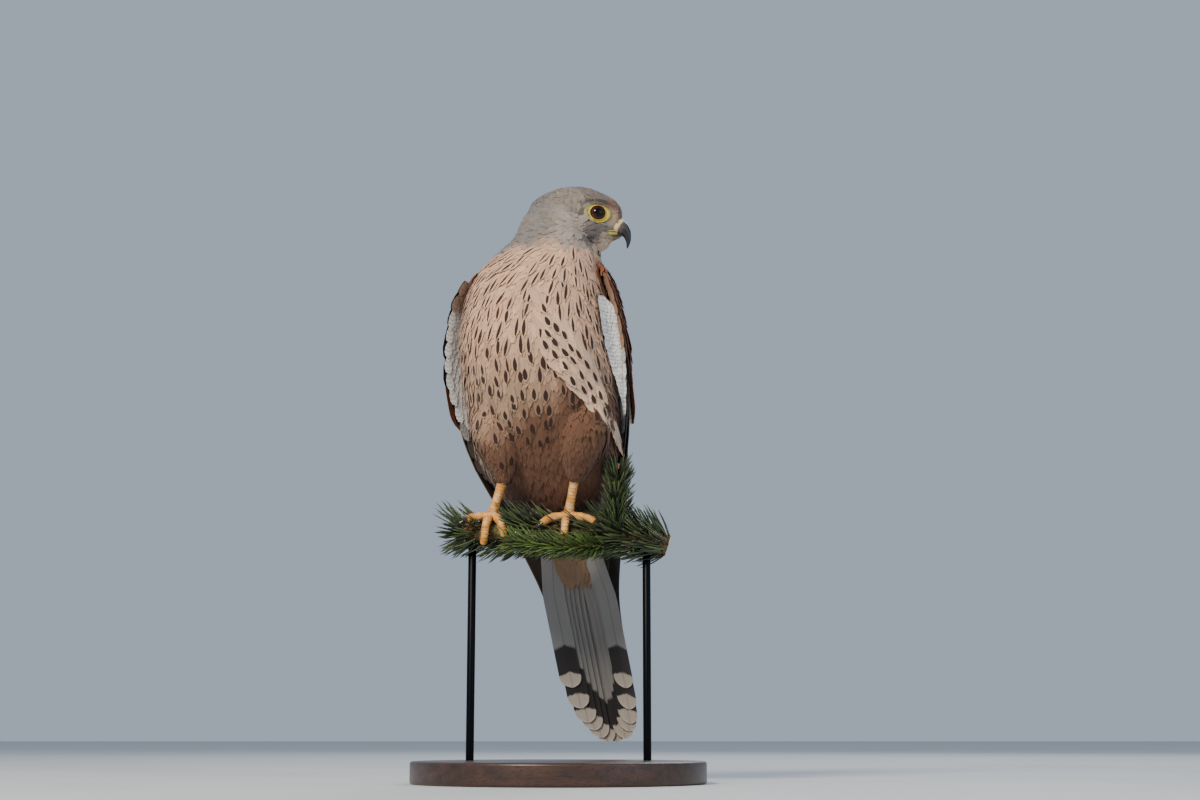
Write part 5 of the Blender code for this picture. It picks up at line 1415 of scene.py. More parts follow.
lining = coat_finish("barred_lining_feathers", 0.7, 2.3)
level, middle, wide = np.asarray(LEAF).T
levels = np.arange(68.0, 130.0, 2.0)
h = np.repeat(levels, LEAF_ACROSS)
row = np.repeat(np.arange(len(levels)), LEAF_ACROSS)
share = np.tile(np.linspace(-1.0, 1.0, LEAF_ACROSS), len(levels)) + 0.2 * (row % 2) - 0.1
share = share + seed.uniform(-0.08, 0.08, len(h))
length = 8.0 * uneven(len(h))
run_h = h[:, None] - length[:, None] * V_ROWS
run_x = np.interp(run_h, level, middle) + share[:, None] * np.interp(run_h, level, wide)
lift = 2.6 + (0.5 + 1.2 * V_ROWS) * seed.uniform(0.8, 1.1, (len(h), 1))
spine, up = hung(run_x, run_h, lift)
half = 1.5 * uneven(len(h))
looks = looks_of(None, half, length)
looks["ground"] = varied(np.repeat([linear(LINING_WHITE)], len(h), axis=0), 0.05)
places = np.stack([0.5 + 0.3 * share, (h - 60.0) / 90.0], axis=-1)
show(feathers("wing_lining_leaf", spine, up, half, places, looks), lining, "rufous_plumage")

# Thighs


def thigh_lie(points):
    """The way a thigh's feathers lie: down, and a little back."""
    return np.broadcast_to(unit(np.array([0.0, 0.25, -1.0])), points.shape)


for side, label in ((1, "left"), (-1, "right")):
    rings = even_rings(thigh_rings, 5.0, (2.8, 2.6, 2.3, 1.9, 1.6), 60, side)
    roots, places = ring_roots(rings, np.linspace(2.1, 1.5, len(rings)), 0.2)
    roots, places = near_skin(roots, places, 3.4)
    h = roots[:, 2] - PERCH_HEIGHT
    length = np.interp(h, (28.0, 45.0, 80.0), (5.5, 8.5, 10.0)) * uneven(len(h))
    half = np.interp(h, (28.0, 50.0), (0.85, 1.4)) * uneven(len(h))
    lift = np.interp(h, (28.0, 50.0), (0.9, 1.7)) * seed.uniform(0.8, 1.15, len(h))
    patch_of(f"coat_thigh_{label}", roots, places, thigh_lie, length, half, lift, "buff_plumage")

# Head
rings = even_rings(head_rings, 10.0, (2.3, 2.1, 1.9, 1.8, 1.7, 1.5, 1.3, 1.15, 1.0, 0.9))
forward = from_head(rings.mean(axis=1))[0]
roots, places = ring_roots(rings, np.interp(forward, (-24.0, 0.0, 14.0, 24.0), (1.9, 1.6, 1.25, 0.9)), 0.22)
roots, places = near_skin(roots, places, 2.2)
f, s, u = from_head(roots)
eye_away = np.hypot((f - 14.4) / 1.12, (u + 0.9) * np.where(u > -0.9, 1.2, 1.0))
bill_away = np.hypot(f - 26.5, (u + 5.0) * 0.9)
clear = (eye_away > 6.9) & (bill_away > 6.2) & ((f < 18.6) | (np.hypot(s, u + 4.6) > 6.4))
roots, places, f, s, u = roots[clear], places[clear], f[clear], s[clear], u[clear]
near_eye = step_up(11.0, 6.5, np.hypot((f - 14.4) / 1.12, u + 0.9))
length = np.interp(f, (-24.0, -5.0, 12.0, 24.0), (7.0, 5.4, 3.6, 2.0)) * (1 - 0.35 * near_eye)
length = length * uneven(len(f))
half = np.interp(f, (-24.0, -5.0, 12.0, 24.0), (1.15, 0.95, 0.62, 0.4)) * (1 - 0.25 * near_eye)
half = half * uneven(len(f))
lift = np.interp(f, (-24.0, 12.0, 24.0), (1.0, 0.75, 0.45)) * seed.uniform(0.8, 1.2, len(f))
crown = step_up(2.0, 6.0, u) * step_up(21.0, 16.0, f)
beard = step_up(5.4, 3.0, off_moustache(f, u)) * step_up(-4.0, -7.0, u) * step_up(-23.0, -18.0, u)
beard = beard * (seed.random(len(f)) < 0.6)
marks = points_at(0.25, 0.97, (0.16 * crown + 0.5 * beard) * half / 0.8)
front = f > 1.5
for label, pick in (("face", front), ("crown", ~front)):
    patch_of(
        f"coat_{label}", roots[pick], places[pick], head_lie, length[pick], half[pick], lift[pick],
        "grey_plumage", marks[pick], 0.05, 0.8,
    )


# 9. Wings
# Folded wings of a falcon. Ten long dark primaries show their tips below, shorter secondaries lie over them,
# and above come greater, median and lesser coverts, chestnut with a black drop on each. Small white barred
# coverts line the hollow side along the leading edge.

VANE_STEP = 0.45
COVERT_DROP = (0.62, 0.92)
COVERT_RUFOUS = "#9a5834"
COVERT_EDGE = "#ad7650"
PRIMARY_DARK = "#2e2620"
SECONDARY = "#4a3529"
LEAD_DARK = "#34302f"
SHOULDER_TOP, SHOULDER_ROUND = 143.0, 13.0
PRIMARY_ENDS = (-64.0, -74.0, -70.0, -57.0, -42.0, -27.0, -12.0)
SECONDARY_ENDS = (7.0, 9.0, 14.0, 21.0, 31.0)


def sheet_vanes(name, middle, normals, v, places, looks, thick=0.24, crease=55.0):
    """Large vanes as thin closed sheets: a grid of rows and columns for each, half the thickness above and
    half below, with the rim joined all round."""
    count, rows, columns = middle.shape[:3]
    half = normals * thick / 2 * np.linspace(1.0, 0.5, rows)[:, None, None]
    grid = rows * columns
    points = np.concatenate([side.reshape(count, grid, 3) for side in (middle + half, middle - half)], axis=1)
    i, j = np.meshgrid(np.arange(rows - 1), np.arange(columns - 1), indexing="ij")
    a = (i * columns + j).ravel()
    upper = np.stack([a, a + 1, a + columns + 1, a + columns], axis=-1)
    rim = list(range(0, grid, columns)) + list(range(grid - columns + 1, grid))
    rim += list(range(grid - columns - 1, 0, -columns)) + list(range(columns - 2, 0, -1))
    rim = np.array(rim)
    after = np.roll(rim, -1)
    band = np.stack([rim, rim + grid, after + grid, after], axis=-1)
    one = np.concatenate([upper, upper[:, ::-1] + grid, band[:, ::-1]])
    quads = (one[None] + 2 * grid * np.arange(count)[:, None, None]).reshape(-1, 4)
    piece = mesh_piece(name, points, [quads], crease)
    u, v = np.meshgrid(np.linspace(0.0, 1.0, columns), v)
    return dressed(piece, np.tile(np.stack([u.ravel(), v.ravel()], axis=-1), (2, 1)), places, looks)


def long_outline(v, blunt, root=0.55):
    """Half width of a long vane along v: from the root share up to full in the first fifth, then rounded off
    over the last part as sqrt(1 - x^2.6)."""
    x = np.clip((v - blunt) / (1.0 - blunt), 0.0, 1.0)
    return (root + (1 - root) * step_up(0.0, 0.2, v)) * np.sqrt(np.maximum(1 - x**2.6, 0.06))


def wing_sheets(
    side, label, root_h, root_place, tip_h, tip_place, half, levels, pitch, rise, blunt, look,
    rows=22, columns=9,
):
    """Long wing feathers. Root and tip are heights and mm from the leading edge, levels how far out they lie,
    reached by the rise's share of the length. Each tilts by step half / pitch across, so that the next one
    further in lies over it."""
    v = np.linspace(0.0, 1.0, rows) ** 0.92
    u = np.linspace(-1.0, 1.0, columns)
    count = len(root_h)
    h = root_h[:, None] + (tip_h - root_h)[:, None] * v
    place = root_place[:, None] + (tip_place - root_place)[:, None] * v
    width = wing_width(h)
    outline = long_outline(v, blunt)[:, None]
    height = h[..., None] + 0.10 * half * (u**2 - 0.5) * step_up(0.6, 1.0, v)[:, None]
    t = (place[..., None] + half * outline * (u + 0.036 * np.sin(3 * v)[:, None])) / width[..., None]
    level = levels[0] + (levels[1] - levels[0]) * np.minimum(1.0, v / rise)
    tilt = VANE_STEP * half / pitch * outline * u
    bow = 0.05 * half * (1 - u**2)
    offset = level[:, None] - tilt + bow
    middle = wing_point(height, t, offset, side)
    normals = wing_point(height, t, offset + 1.0, side) - middle
    places = np.stack([0.06 + 0.88 * root_place / 80.0, np.full(count, 0.5)], axis=-1)
    looks = look(half, root_h - tip_h)
    return sheet_vanes(label, middle, normals, v, places, looks)


def sheet_look(code, spread, mark=None):
    """Gives looks to large vanes in one ground colour, with or without a dark drop near the tip."""

    def look(half, length):
        ground = varied(np.repeat([linear(code)], len(length), axis=0), spread)
        return looks_of(ground, half, length, mark and np.repeat([mark], len(length), axis=0))

    return look


def wing_row(side, heights, t, length, half, levels, tilt, colour, marks=None, inner=False):
    """What feathers() needs for one or more rows of short coverts: from each root straight down the wing, on
    its outer face or, if inner, the hollow one, and flatter close to the leading edge."""
    h = heights[:, None] - length[:, None] * V_ROWS
    place = t[:, None]
    level = levels[0] + (levels[1] - levels[0]) * V_ROWS
    level = level * np.minimum(1.0, 0.4 + np.maximum(0.0, place) / 0.15)
    sign = -1.0 if inner else 1.0
    spine = wing_point(h, place, sign * level, side)
    normals = unit(wing_point(h, place, sign * (level + 1.0), side) - spine)
    edges = (wing_point(h, place + step, sign * level, side) for step in (0.01, -0.01))
    normals = unit(normals + math.tan(tilt) * unit(np.subtract(*edges)))
    across = np.clip(0.5 + 0.45 * t * (1 if inner else 0.98), 0.02, 0.98)
    places = np.stack([across, (heights + 90.0) / 260.0], axis=-1)
    return spine, normals, half, places, looks_of(colour, half, length, marks)


def covert_roots(low_h, high_h, step_h, pitch, t_low, t_high):
    """Roots in brick order over part of the wing: heights a step apart, and places a pitch apart across."""
    heights, shares = [], []
    for k, h in enumerate(np.arange(high_h, low_h, -step_h)):
        width = float(wing_width(np.array([h]))[0])
        count = max(2, int(round((t_high - t_low) * width / pitch)))
        share = t_low + (np.arange(count) + 0.25 + 0.5 * (k % 2)) / count * (t_high - t_low)
        heights.append(np.full(count, h))
        shares.append(share)
    heights, shares = np.concatenate(heights), np.concatenate(shares)
    jitter = seed.uniform(-0.5, 0.5, (2, len(heights)))
    return heights + 0.35 * step_h * jitter[0], shares + 0.2 * pitch / 75.0 * jitter[1]


def rufous_look(count, share, drop):
    """Chestnut ground for coverts and a black drop near the tip on a share of them."""
    ground = mixed(linear(COVERT_RUFOUS), linear(COVERT_EDGE), seed.uniform(0.0, 1.0, (count, 1)) ** 1.5)
    shown = seed.random(count) < share
    marks = points_at(COVERT_DROP[0], COVERT_DROP[1], drop * seed.uniform(0.7, 1.15, count) * shown)
    return varied(ground, 0.08), marks


flight = coat_finish("flight_feathers", 0.55, rim=0.55)
for side, label in ((1, "left"), (-1, "right")):
    # Primaries and secondaries
    k = np.linspace(0.0, 6.0, 10)
    ends = np.interp(k, np.arange(7.0), PRIMARY_ENDS)
    primaries = wing_sheets(
        side, f"primaries_{label}", np.full(10, 78.0), 5.5 + 2.6 * k, ends, 5.0 + 2.4 * k,
        6.0, (0.9, 1.5), 1.7, 0.4, 0.86, sheet_look(PRIMARY_DARK, 0.06), 30,
    )
    show(primaries, flight, "rufous_plumage", f"wing_{label}")
    k = np.linspace(0.0, 4.0, 9)
    ends = np.interp(k, np.arange(5.0), SECONDARY_ENDS)
    secondaries = wing_sheets(
        side, f"secondaries_{label}", np.full(9, 82.0), wing_width(np.full(9, 80.0)) - 47.0 + 10.0 * k, ends,
        wing_width(ends) - 20.6 + 3.4 * k, 7.4, (0.6, 4.4), 2.2, 0.6, 0.8, sheet_look(SECONDARY, 0.06),
    )
    show(secondaries, flight, "rufous_plumage")
    # Tertials, longest of the inner feathers, chestnut with dark drops
    k = np.arange(1.0, 4.0)
    tertials = wing_sheets(
        side, f"tertials_{label}", 92.0 - 1.0 * k, wing_width(np.full(3, 90.0)) - 24.0 + 6.6 * k,
        30.0 + 9.0 * k, wing_width(30.0 + 9.0 * k) - 12.0 + 3.6 * k, 7.6, (2.6, 5.2), 3.2, 0.6, 0.72,
        sheet_look(COVERT_RUFOUS, 0.07, (0.80, 0.94, 2.2)), 18,
    )
    show(tertials, coat, "rufous_plumage")
    # Greater coverts
    k = np.linspace(0.0, 1.0, 13)
    greater = wing_sheets(
        side, f"greater_coverts_{label}", np.full(13, 95.0), 4.5 + 62.0 * k,
        61.0 + 2.5 * np.sin(3 * k), 4.2 + 58.5 * k, 5.0, (0.9, 4.8), 4.8, 0.8, 0.7,
        sheet_look(COVERT_RUFOUS, 0.08, (0.72, 0.93, 1.9)), 14, 7,
    )
    show(greater, coat, "rufous_plumage")
    # Median and lesser coverts, in many short rows up to the shoulder, then the mantle over both wings' roots
    rows = []
    for low, high, step, pitch, t_low, t_high, size, half, levels, share, drop in (
        (98.0, 118.0, 9.0, 5.4, 0.0, 0.86, 19.0, 4.4, (1.2, 3.9), 0.85, 1.6),
        (112.0, 147.0, 4.8, 4.4, 0.0, 0.8, 12.0, 3.3, (0.8, 3.1), 0.55, 1.15),
        (74.0, 112.0, 8.5, 6.0, 0.70, 1.07, 21.0, 4.8, (3.0, 5.8), 0.8, 1.9),
        (112.0, 152.0, 5.6, 4.9, 0.64, 1.07, 15.0, 3.8, (1.6, 4.2), 0.6, 1.4),
    ):
        h, t = covert_roots(low, high, step, pitch, t_low, t_high)
        keep = h < SHOULDER_TOP + SHOULDER_ROUND * step_up(0.0, 0.4, t)
        h, t = h[keep], t[keep]
        ground, marks = rufous_look(len(h), share, drop)
        lead = step_up(0.12, 0.04, t) * step_up(*((112.0, 94.0) if side > 0 else (142.0, 128.0)), h)
        ground = mixed(ground, linear(LEAD_DARK), lead[:, None])
        length = size * seed.uniform(0.88, 1.12, len(h))
        half = half * seed.uniform(0.9, 1.1, len(h))
        rows.append(wing_row(side, h, t, length, half, levels, 0.10, ground, marks))
    spine, up, half, places = (np.concatenate([row[k] for row in rows]) for k in range(4))
    looks = {key: np.concatenate([row[4][key] for row in rows]) for key in rows[0][4]}
    show(feathers(f"coverts_{label}", spine, up, half, places, looks, 0.12), coat, "rufous_plumage")
    # White lining of the hollow side, dark below it as painted shade over the primaries' edge, and dark
    # marginal coverts round the leading edge
    h, t = covert_roots(40.0, SHOULDER_TOP, 4.4, 3.0, -0.02, 0.42)
    keep = (h < 120.0) | (t < 0.12)
    h, t = h[keep], t[keep]
    count = len(h)
    white = (step_up(60.0, 70.0, h) * step_up(134.0, 126.0, h))[:, None]
    other = np.where(h[:, None] > 100.0, linear(SHOULDER if side < 0 else SIDE_BROWN), linear(LINING_DARK_AND_SHADE))
    if side > 0:
        white = white * np.maximum(step_up(104.0, 96.0, h), step_up(0.10, 0.16, t))[:, None]
    ground = varied(mixed(other, linear(LINING_WHITE), white), 0.06)
    length = 9.5 * uneven(count)
    row = wing_row(side, h, t, length, np.full(count, 2.4), (1.8, 2.5), -0.5, ground, inner=True)
    show(feathers(f"wing_lining_{label}", *row, 0.12), lining, "rufous_plumage")
    h, t = covert_roots(46.0, SHOULDER_TOP, 3.6, 1.5, -0.012, 0.022)
    count = len(h)
    tint = (step_up(90.0, 108.0, h) if side > 0 else step_up(128.0, 142.0, h))[:, None]
    length = 8.0 * uneven(count)
    ground = varied(mixed(linear(LEAD_DARK), linear(COVERT_RUFOUS), tint), 0.08)
    row = wing_row(side, h, t, length, np.full(count, 1.5), (1.3, 2.2), 0.0, ground)
    show(feathers(f"wing_margin_{label}", *row, 0.3), coat, "rufous_plumage")


# 10. Tail
# Twelve grey feathers in a closed fan, the middle pair over the rest, each with a broad black band and a
# pale rounded tip. Soft coverts lie over its root above and below.

# How much shorter than the longest, and where the middle line lies for the bird's left and right
TAIL_RANKS = (
    (0.0, 4.5, -1.0),
    (3.0, 10.6, -4.0),
    (8.0, 14.2, -6.8),
    (13.0, 16.0, -9.6),
    (22.0, 17.4, -11.8),
    (35.0, 18.0, -13.8),
)
TAIL_LENGTH = 136.0
TAIL_STEP = 0.62
TAIL_HALF = 6.3
TAIL_BARB_PITCH = 0.45
# Blue-grey of the tail, slightly darkened as painted shade; the tip's pale colour is greyed as painted shade.
TAIL_GREY = "#868482"
TAIL_BAND = "#1c191a"
TAIL_TIP_SHADED = "#aea59a"
# Buff of the undertail coverts, darkened as painted shade.
UNDERTAIL_SHADED = "#8d735c"

# Tail feathers: smooth grey with a fine grain of barbs and a darker shaft, a black band from 10 mm to 26 mm
# before the end, and a pale tip; grey and tip are dulled by painted shade.
tail_finish, tree, shader = new_finish("banded_tail_feathers", Roughness=0.6, Sheen_Weight=0.15)
ground = add(tree, "Attribute", attribute_name="ground")
size = add(tree, "Attribute", attribute_name="size")
vane = add(tree, "SeparateXYZ", {"Vector": add(tree, "UVMap", uv_map="vane")})
spans = add(tree, "SeparateXYZ", {"Vector": size.outputs["Vector"]})
across = add(tree, "Math", [vane.outputs["X"], 0.5], operation="SUBTRACT")
away = add(tree, "Math", [across], operation="ABSOLUTE")
out_mm = add(tree, "Math", [away, spans.outputs["X"]], operation="MULTIPLY")
before = add(tree, "Math", [1.0, vane.outputs["Y"]], operation="SUBTRACT")
before_mm = add(tree, "Math", [before, spans.outputs["Y"]], operation="MULTIPLY")
swept = add(tree, "Math", [out_mm, 1.3, before_mm], operation="MULTIPLY_ADD")
fine = add(tree, "Math", [swept, 2 * math.pi / TAIL_BARB_PITCH], operation="MULTIPLY")
wave = add(tree, "Math", [fine], operation="SINE")
ripple = add(tree, "CombineXYZ", {"X": swept, "Y": out_mm, "Z": spans.outputs["Z"]})
rough = add(tree, "TexNoise", {"Vector": ripple, "Scale": 0.5, "Detail": 3.0})
wavy = add(tree, "Math", [rough, 3.0, before_mm], operation="MULTIPLY_ADD")
curved = add(tree, "Math", [out_mm, 0.35, wavy], operation="MULTIPLY_ADD")
scaled = add(tree, "Math", [curved, 1.0 / 40.0], operation="MULTIPLY")
bands = [(0.0, TAIL_TIP_SHADED), (0.262, TAIL_TIP_SHADED), (0.285, TAIL_BAND), (1.0, TAIL_BAND)]
zones = add(tree, "ValToRGB", {"Fac": scaled}, stops=bands)
past = add(tree, "MapRange", {"Value": scaled, "From Min": 0.66, "From Max": 0.70})
body_grey = add(tree, "MixRGB", {"Fac": past, "Color1": zones, "Color2": ground.outputs["Color"]})
shaft = add(tree, "MapRange", {"Value": out_mm, "From Min": 0.2, "From Max": 0.45, "To Min": 0.7})
barb = add(tree, "MapRange", {"Value": wave, "From Min": -1.0, "To Min": 0.93, "To Max": 1.03})
shade = add(tree, "Math", [shaft, barb], operation="MULTIPLY")
final = add(tree, "VectorMath", {0: body_grey, "Scale": shade}, operation="SCALE")
relief = add(tree, "Bump", {"Strength": 0.3, "Distance": 0.0001, "Height": wave})
feed(shader, {"Base Color": final, "Normal": relief})

ranks = np.repeat(np.arange(6), 2)
left = np.tile([False, True], 6)
shorter, place_left, place_right = np.asarray(TAIL_RANKS)[ranks].T
place = np.where(left, place_left, place_right)
below = np.where(left & (ranks == 0), 0.0, ranks + 1.0 + 0.35 * left)
length = TAIL_LENGTH - shorter
v = np.concatenate([np.linspace(0.0, 0.92, 24), [0.94, 0.955, 0.967, 0.977, 0.985, 0.991, 0.996, 1.0]])
u = np.linspace(-1.0, 1.0, 9)
outline = long_outline(v, 0.925, 0.62)
centre = place[:, None] * (0.55 + 0.45 * np.minimum(1.0, 2.2 * v))
half = (6.4 - 0.06 * ranks)[:, None] * outline
along = length[:, None, None] * v[:, None] - 0.5 * (u**2) * step_up(0.75, 1.0, v)[:, None]
across = centre[..., None] + half[..., None] * u
lift = -TAIL_STEP * below[:, None, None] * (0.55 + 0.45 * np.minimum(1.0, 3 * v))[:, None]
lift = lift - 0.011 * across**2 + 0.16 * (1 - u**2) - 0.35 * np.abs(u) ** 3
middle = tail_point(along, across, lift)
normals = tail_point(along, across, lift + 1.0) - middle
ground = varied(np.repeat([linear(TAIL_GREY)], 12, axis=0), 0.04)
looks = looks_of(ground, TAIL_HALF, length)
places = np.stack([0.1 + 0.07 * np.arange(12), np.full(12, 0.5)], axis=-1)
tail = sheet_vanes("tail_feathers", middle, normals, v, places, looks, 0.26)
show(tail, tail_finish, "tail_plumage", "tail")

TAIL_COVERT_LENGTH, TAIL_COVERT_HALF = 15.0, 2.6
TAIL_COVERTS_ACROSS = 9
for name, code, slot, face, first, last, level in (
    ("undertail_coverts", UNDERTAIL_SHADED, "buff_plumage", -1.0, -20.0, 30.0, (-7.6, -5.2)),
    ("uppertail_coverts", RUMP, "grey_plumage", 1.0, -14.0, 22.0, (1.6, 0.8)),
):
    steps = np.arange(first, last, 3.6)
    start = np.repeat(steps, TAIL_COVERTS_ACROSS)
    share = np.tile(np.linspace(-1.0, 1.0, TAIL_COVERTS_ACROSS), len(steps))
    share = share + np.repeat((np.arange(len(steps)) % 2) * 0.12, TAIL_COVERTS_ACROSS)
    wide = np.interp(start, (first, 0.0, last), (9.0, 10.5, 9.0))
    shift = np.interp(start, (first, last), (0.0, 2.5))
    length = TAIL_COVERT_LENGTH * uneven(len(start))
    run = start[:, None] + length[:, None] * V_ROWS
    across = (share * wide + shift)[:, None]
    height = np.interp(run, (first, last + TAIL_COVERT_LENGTH), level) - face * 0.03 * across**2
    height = height + face * (0.2 + 1.1 * V_ROWS)
    spine = tail_point(run, across, height)
    up = unit(tail_point(run, across, height + face) - spine)
    ground = varied(np.repeat([linear(code)], len(start), axis=0), 0.06)
    places = np.stack([0.5 + 0.4 * share, 0.1 + 0.8 * (start - first) / (last - first)], axis=-1)
    looks = looks_of(ground, TAIL_COVERT_HALF, length)
    show(feathers(name, spine, up, TAIL_COVERT_HALF, places, looks), coat, slot)


# 11. Eyes and lids
# Glass eyes blown to size: a black pupil, a very dark brown iris and a clear domed front. Each sits in cast
# lids of bare skin: a swollen bright yellow ring, then a yellow almond of finely folded skin that runs out
# to a point before and behind, under a feathered brow.

LID_OPENING = 4.05
LID_LONG, LID_TALL = 7.5, 6.0
PUPIL_BLACK = "#050505"
IRIS_INNER = "#2b140b"
IRIS_BROWN = "#4a2717"
IRIS_RIM = "#140c08"
# Colours of the lid from its rim, over the ring, to where it meets the feathers
LID_TONES = (
    (0.0, "#3a3128"),
    (0.05, "#3a3128"),
    (0.12, "#c9b437"),
    (0.4, "#d3c040"),
    (0.62, "#b5a742"),
    (0.88, "#9a8c4c"),
    (1.0, "#66553f"),
)


def head_side(forward, up, grow):
    """How far out the head's surface lies at a place of its side view: the section's half width times
    (1 - (share of the height)^2.2)^(1 / 2.2)."""
    table = np.asarray(HEAD_SECTIONS)
    v = through(table, np.interp(forward, table[:, 0], np.arange(len(table))))
    share = np.abs(up - (v[..., 1] + v[..., 2]) / 2) / ((v[..., 1] - v[..., 2]) / 2 + grow)
    return (v[..., 3] + grow) * np.maximum(0.02, 1 - np.minimum(share, 0.99) ** 2.2) ** (1 / 2.2)


def eye_frame(side):
    """The eye's middle, and unit vectors along its look, forwards along the head, and up."""
    middle, looks = eye_place(side)
    axes = head_axes()
    ahead = axes[0] * math.cos(EYE_SPLAY) - axes[1] * side * math.sin(EYE_SPLAY)
    return middle, looks, ahead, axes[2]


def eyeball(side, label):
    """A ball whose front is domed: its radius + 0.3 (1 - (a / 0.75)^2)^2 at an angle a from its look."""
    middle, looks, ahead, up = eye_frame(side)
    a = np.linspace(0.02, math.pi - 0.02, 90)
    radius = EYE_RADIUS + 0.3 * np.maximum(0.0, 1 - (a / 0.75) ** 2) ** 2
    turn = once_round(72)
    aside = ahead * np.cos(turn)[:, None] + up * np.sin(turn)[:, None]
    rings = middle + (radius * np.cos(a))[:, None, None] * looks + (radius * np.sin(a))[:, None, None] * aside
    made = closed_rings(f"glass_eye_{label}", rings)
    spread = np.concatenate([np.repeat(EYE_RADIUS * a, 72), [0.0, 9.0]])
    set_attribute(made, "spread", spread)
    return made


def lid(side, label):
    """The lids as a closed ring: from the opening a rounded roll, a groove, then bare skin that runs down
    onto the head's surface in an almond, and back underneath. Fine folds run round and across."""
    middle, looks, ahead, up = eye_frame(side)
    turn = once_round(144)[:, None]
    w = np.linspace(0.0, 1.0, 30)[None]
    c, s = np.cos(turn), np.sin(turn)
    inner = LID_OPENING - 0.32 * np.maximum(0.0, s) ** 2 - 0.08 * np.maximum(0.0, -s) + 0.14 * c**2
    outer = 1.0 / np.sqrt((c / LID_LONG) ** 2 + (s / LID_TALL) ** 2) + 0.75 * np.abs(c) ** 10
    outer = outer - 0.95 * np.maximum(0.0, s) ** 2
    r = inner + (outer - inner) * w
    a, b = r * c, r * s
    z = np.full(r.shape, 4.0)
    for _ in range(8):
        forward = EYE_FORWARD + a * math.cos(EYE_SPLAY) + z * math.sin(EYE_SPLAY)
        out = head_side(forward, EYE_UP + b, -0.25)
        z = (out - EYE_SIDE + a * math.sin(EYE_SPLAY)) / math.cos(EYE_SPLAY)
    ball = np.sqrt(np.maximum(0.5, EYE_RADIUS**2 - r**2)) + 0.28
    roll = (0.62 + 0.28 * np.maximum(0.0, s)) * np.sin(math.pi * np.clip(w / 0.32, 0.0, 1.0)) ** 0.8
    near = step_up(0.75, 0.3, w)
    folds = 0.07 * np.sin(30 * turn + 6 * w) * step_up(0.4, 0.6, w) * step_up(1.0, 0.8, w)
    folds = folds + 0.09 * np.sin(9 * math.pi * w + 0.8 * np.sin(3 * turn)) * step_up(0.38, 0.5, w)
    top = near * np.maximum(ball, z * 0.6 + 1.2) + (1 - near) * (z + 0.25)
    top = top + roll + folds - 0.9 * step_up(0.86, 1.0, w)
    back = np.linspace(1.0, 0.0, 8)[None, 1:-1]
    r_back = inner + (outer - inner) * back
    lower = np.interp(back[0], w[0], np.arange(30)).astype(int)
    z_back = top[:, lower] - 1.5
    r_all, z_all = np.concatenate([r, r_back], axis=1), np.concatenate([top, z_back], axis=1)
    points = middle + z_all[..., None] * looks + (r_all * c)[..., None] * ahead + (r_all * s)[..., None] * up
    made = mesh_piece(f"lids_{label}", points, [band_quads(144, 144, 36)])
    share = np.concatenate([w * (1 + 0.4 * np.maximum(0.0, s) ** 2), np.ones(r_back.shape)], axis=1)
    set_attribute(made, "share", share)
    return made


# Glass eye: near-black pupil that runs softly into dark brown with faint fibres, under a clear hard gloss.
glass, tree, shader = new_finish("glass_eye", Roughness=0.05, Specular_IOR_Level=0.25)
spread = add(tree, "Attribute", attribute_name="spread")
where = add(tree, "TexCoord").outputs["Object"]
fibre = add(tree, "TexNoise", {"Vector": where, "Scale": 1500.0, "Detail": 2.0})
fuzz = add(tree, "Math", [fibre, 0.6, spread.outputs["Fac"]], operation="MULTIPLY_ADD")
share = add(tree, "Math", [fuzz, 0.2], operation="MULTIPLY")
iris = [(0.5, PUPIL_BLACK), (0.62, IRIS_INNER), (0.8, IRIS_BROWN), (0.95, IRIS_RIM)]
tone = add(tree, "ValToRGB", {"Fac": share}, stops=iris)
feed(shader, {"Base Color": tone})

# Bare lid skin: waxy yellow, darkest at its rim, with a slight glow.
lid_glow = {"Subsurface_Weight": 0.15, "Subsurface_Scale": 0.001}
lid_skin, tree, shader = new_finish("waxy_yellow_lid_skin", Roughness=0.4, **lid_glow)
share = add(tree, "Attribute", attribute_name="share")
tone = add(tree, "ValToRGB", {"Fac": share.outputs["Fac"]}, stops=LID_TONES)
where = add(tree, "TexCoord").outputs["Object"]
grain = add(tree, "TexVoronoi", {"Vector": where, "Scale": 1700.0}, feature="DISTANCE_TO_EDGE")
soft = add(tree, "MapRange", {"Value": grain, "To Min": 0.8, "To Max": 1.05, "From Max": 0.3})
final = add(tree, "VectorMath", {0: tone, "Scale": soft}, operation="SCALE")
relief = add(tree, "Bump", {"Strength": 0.3, "Distance": 0.0001, "Height": grain})
feed(shader, {"Base Color": final, "Normal": relief})
for side, label in ((1, "right"), (-1, "left")):
    show(eyeball(side, label), glass, "eye", f"eye_{label}")
    show(lid(side, label), lid_skin, "yellow_skin")


# 12. Bill
# A short hooked bill of dark horn with a tooth behind the hook, cast and polished, with a soft waxy cere at
# its root round the nostrils, and the yellow corners of the mouth.

# Forward, up, slope in degrees, half height, half width
BILL_SECTIONS = (
    (18.0, -4.2, -3.0, 5.4, 5.3),
    (22.5, -5.0, -8.0, 5.1, 4.9),
    (26.0, -6.3, -25.0, 4.4, 4.2),
    (28.3, -8.3, -48.0, 3.4, 3.2),
    (29.6, -10.6, -70.0, 2.3, 2.2),
    (30.4, -13.9, -86.0, 1.35, 1.2),
    (30.1, -17.7, -96.0, 0.35, 0.35),
)
# Forward, up, half height, half width
LOWER_BILL_SECTIONS = (
    (15.0, -9.9, 2.4, 4.2),
    (20.0, -9.9, 2.2, 3.8),
    (24.5, -9.7, 1.7, 2.9),
    (27.6, -9.5, 0.6, 1.4),
)
# Where along the bill the tooth is, counted in sections, and its height
TOOTH_PLACE, TOOTH_HIGH = 2.85, 0.9
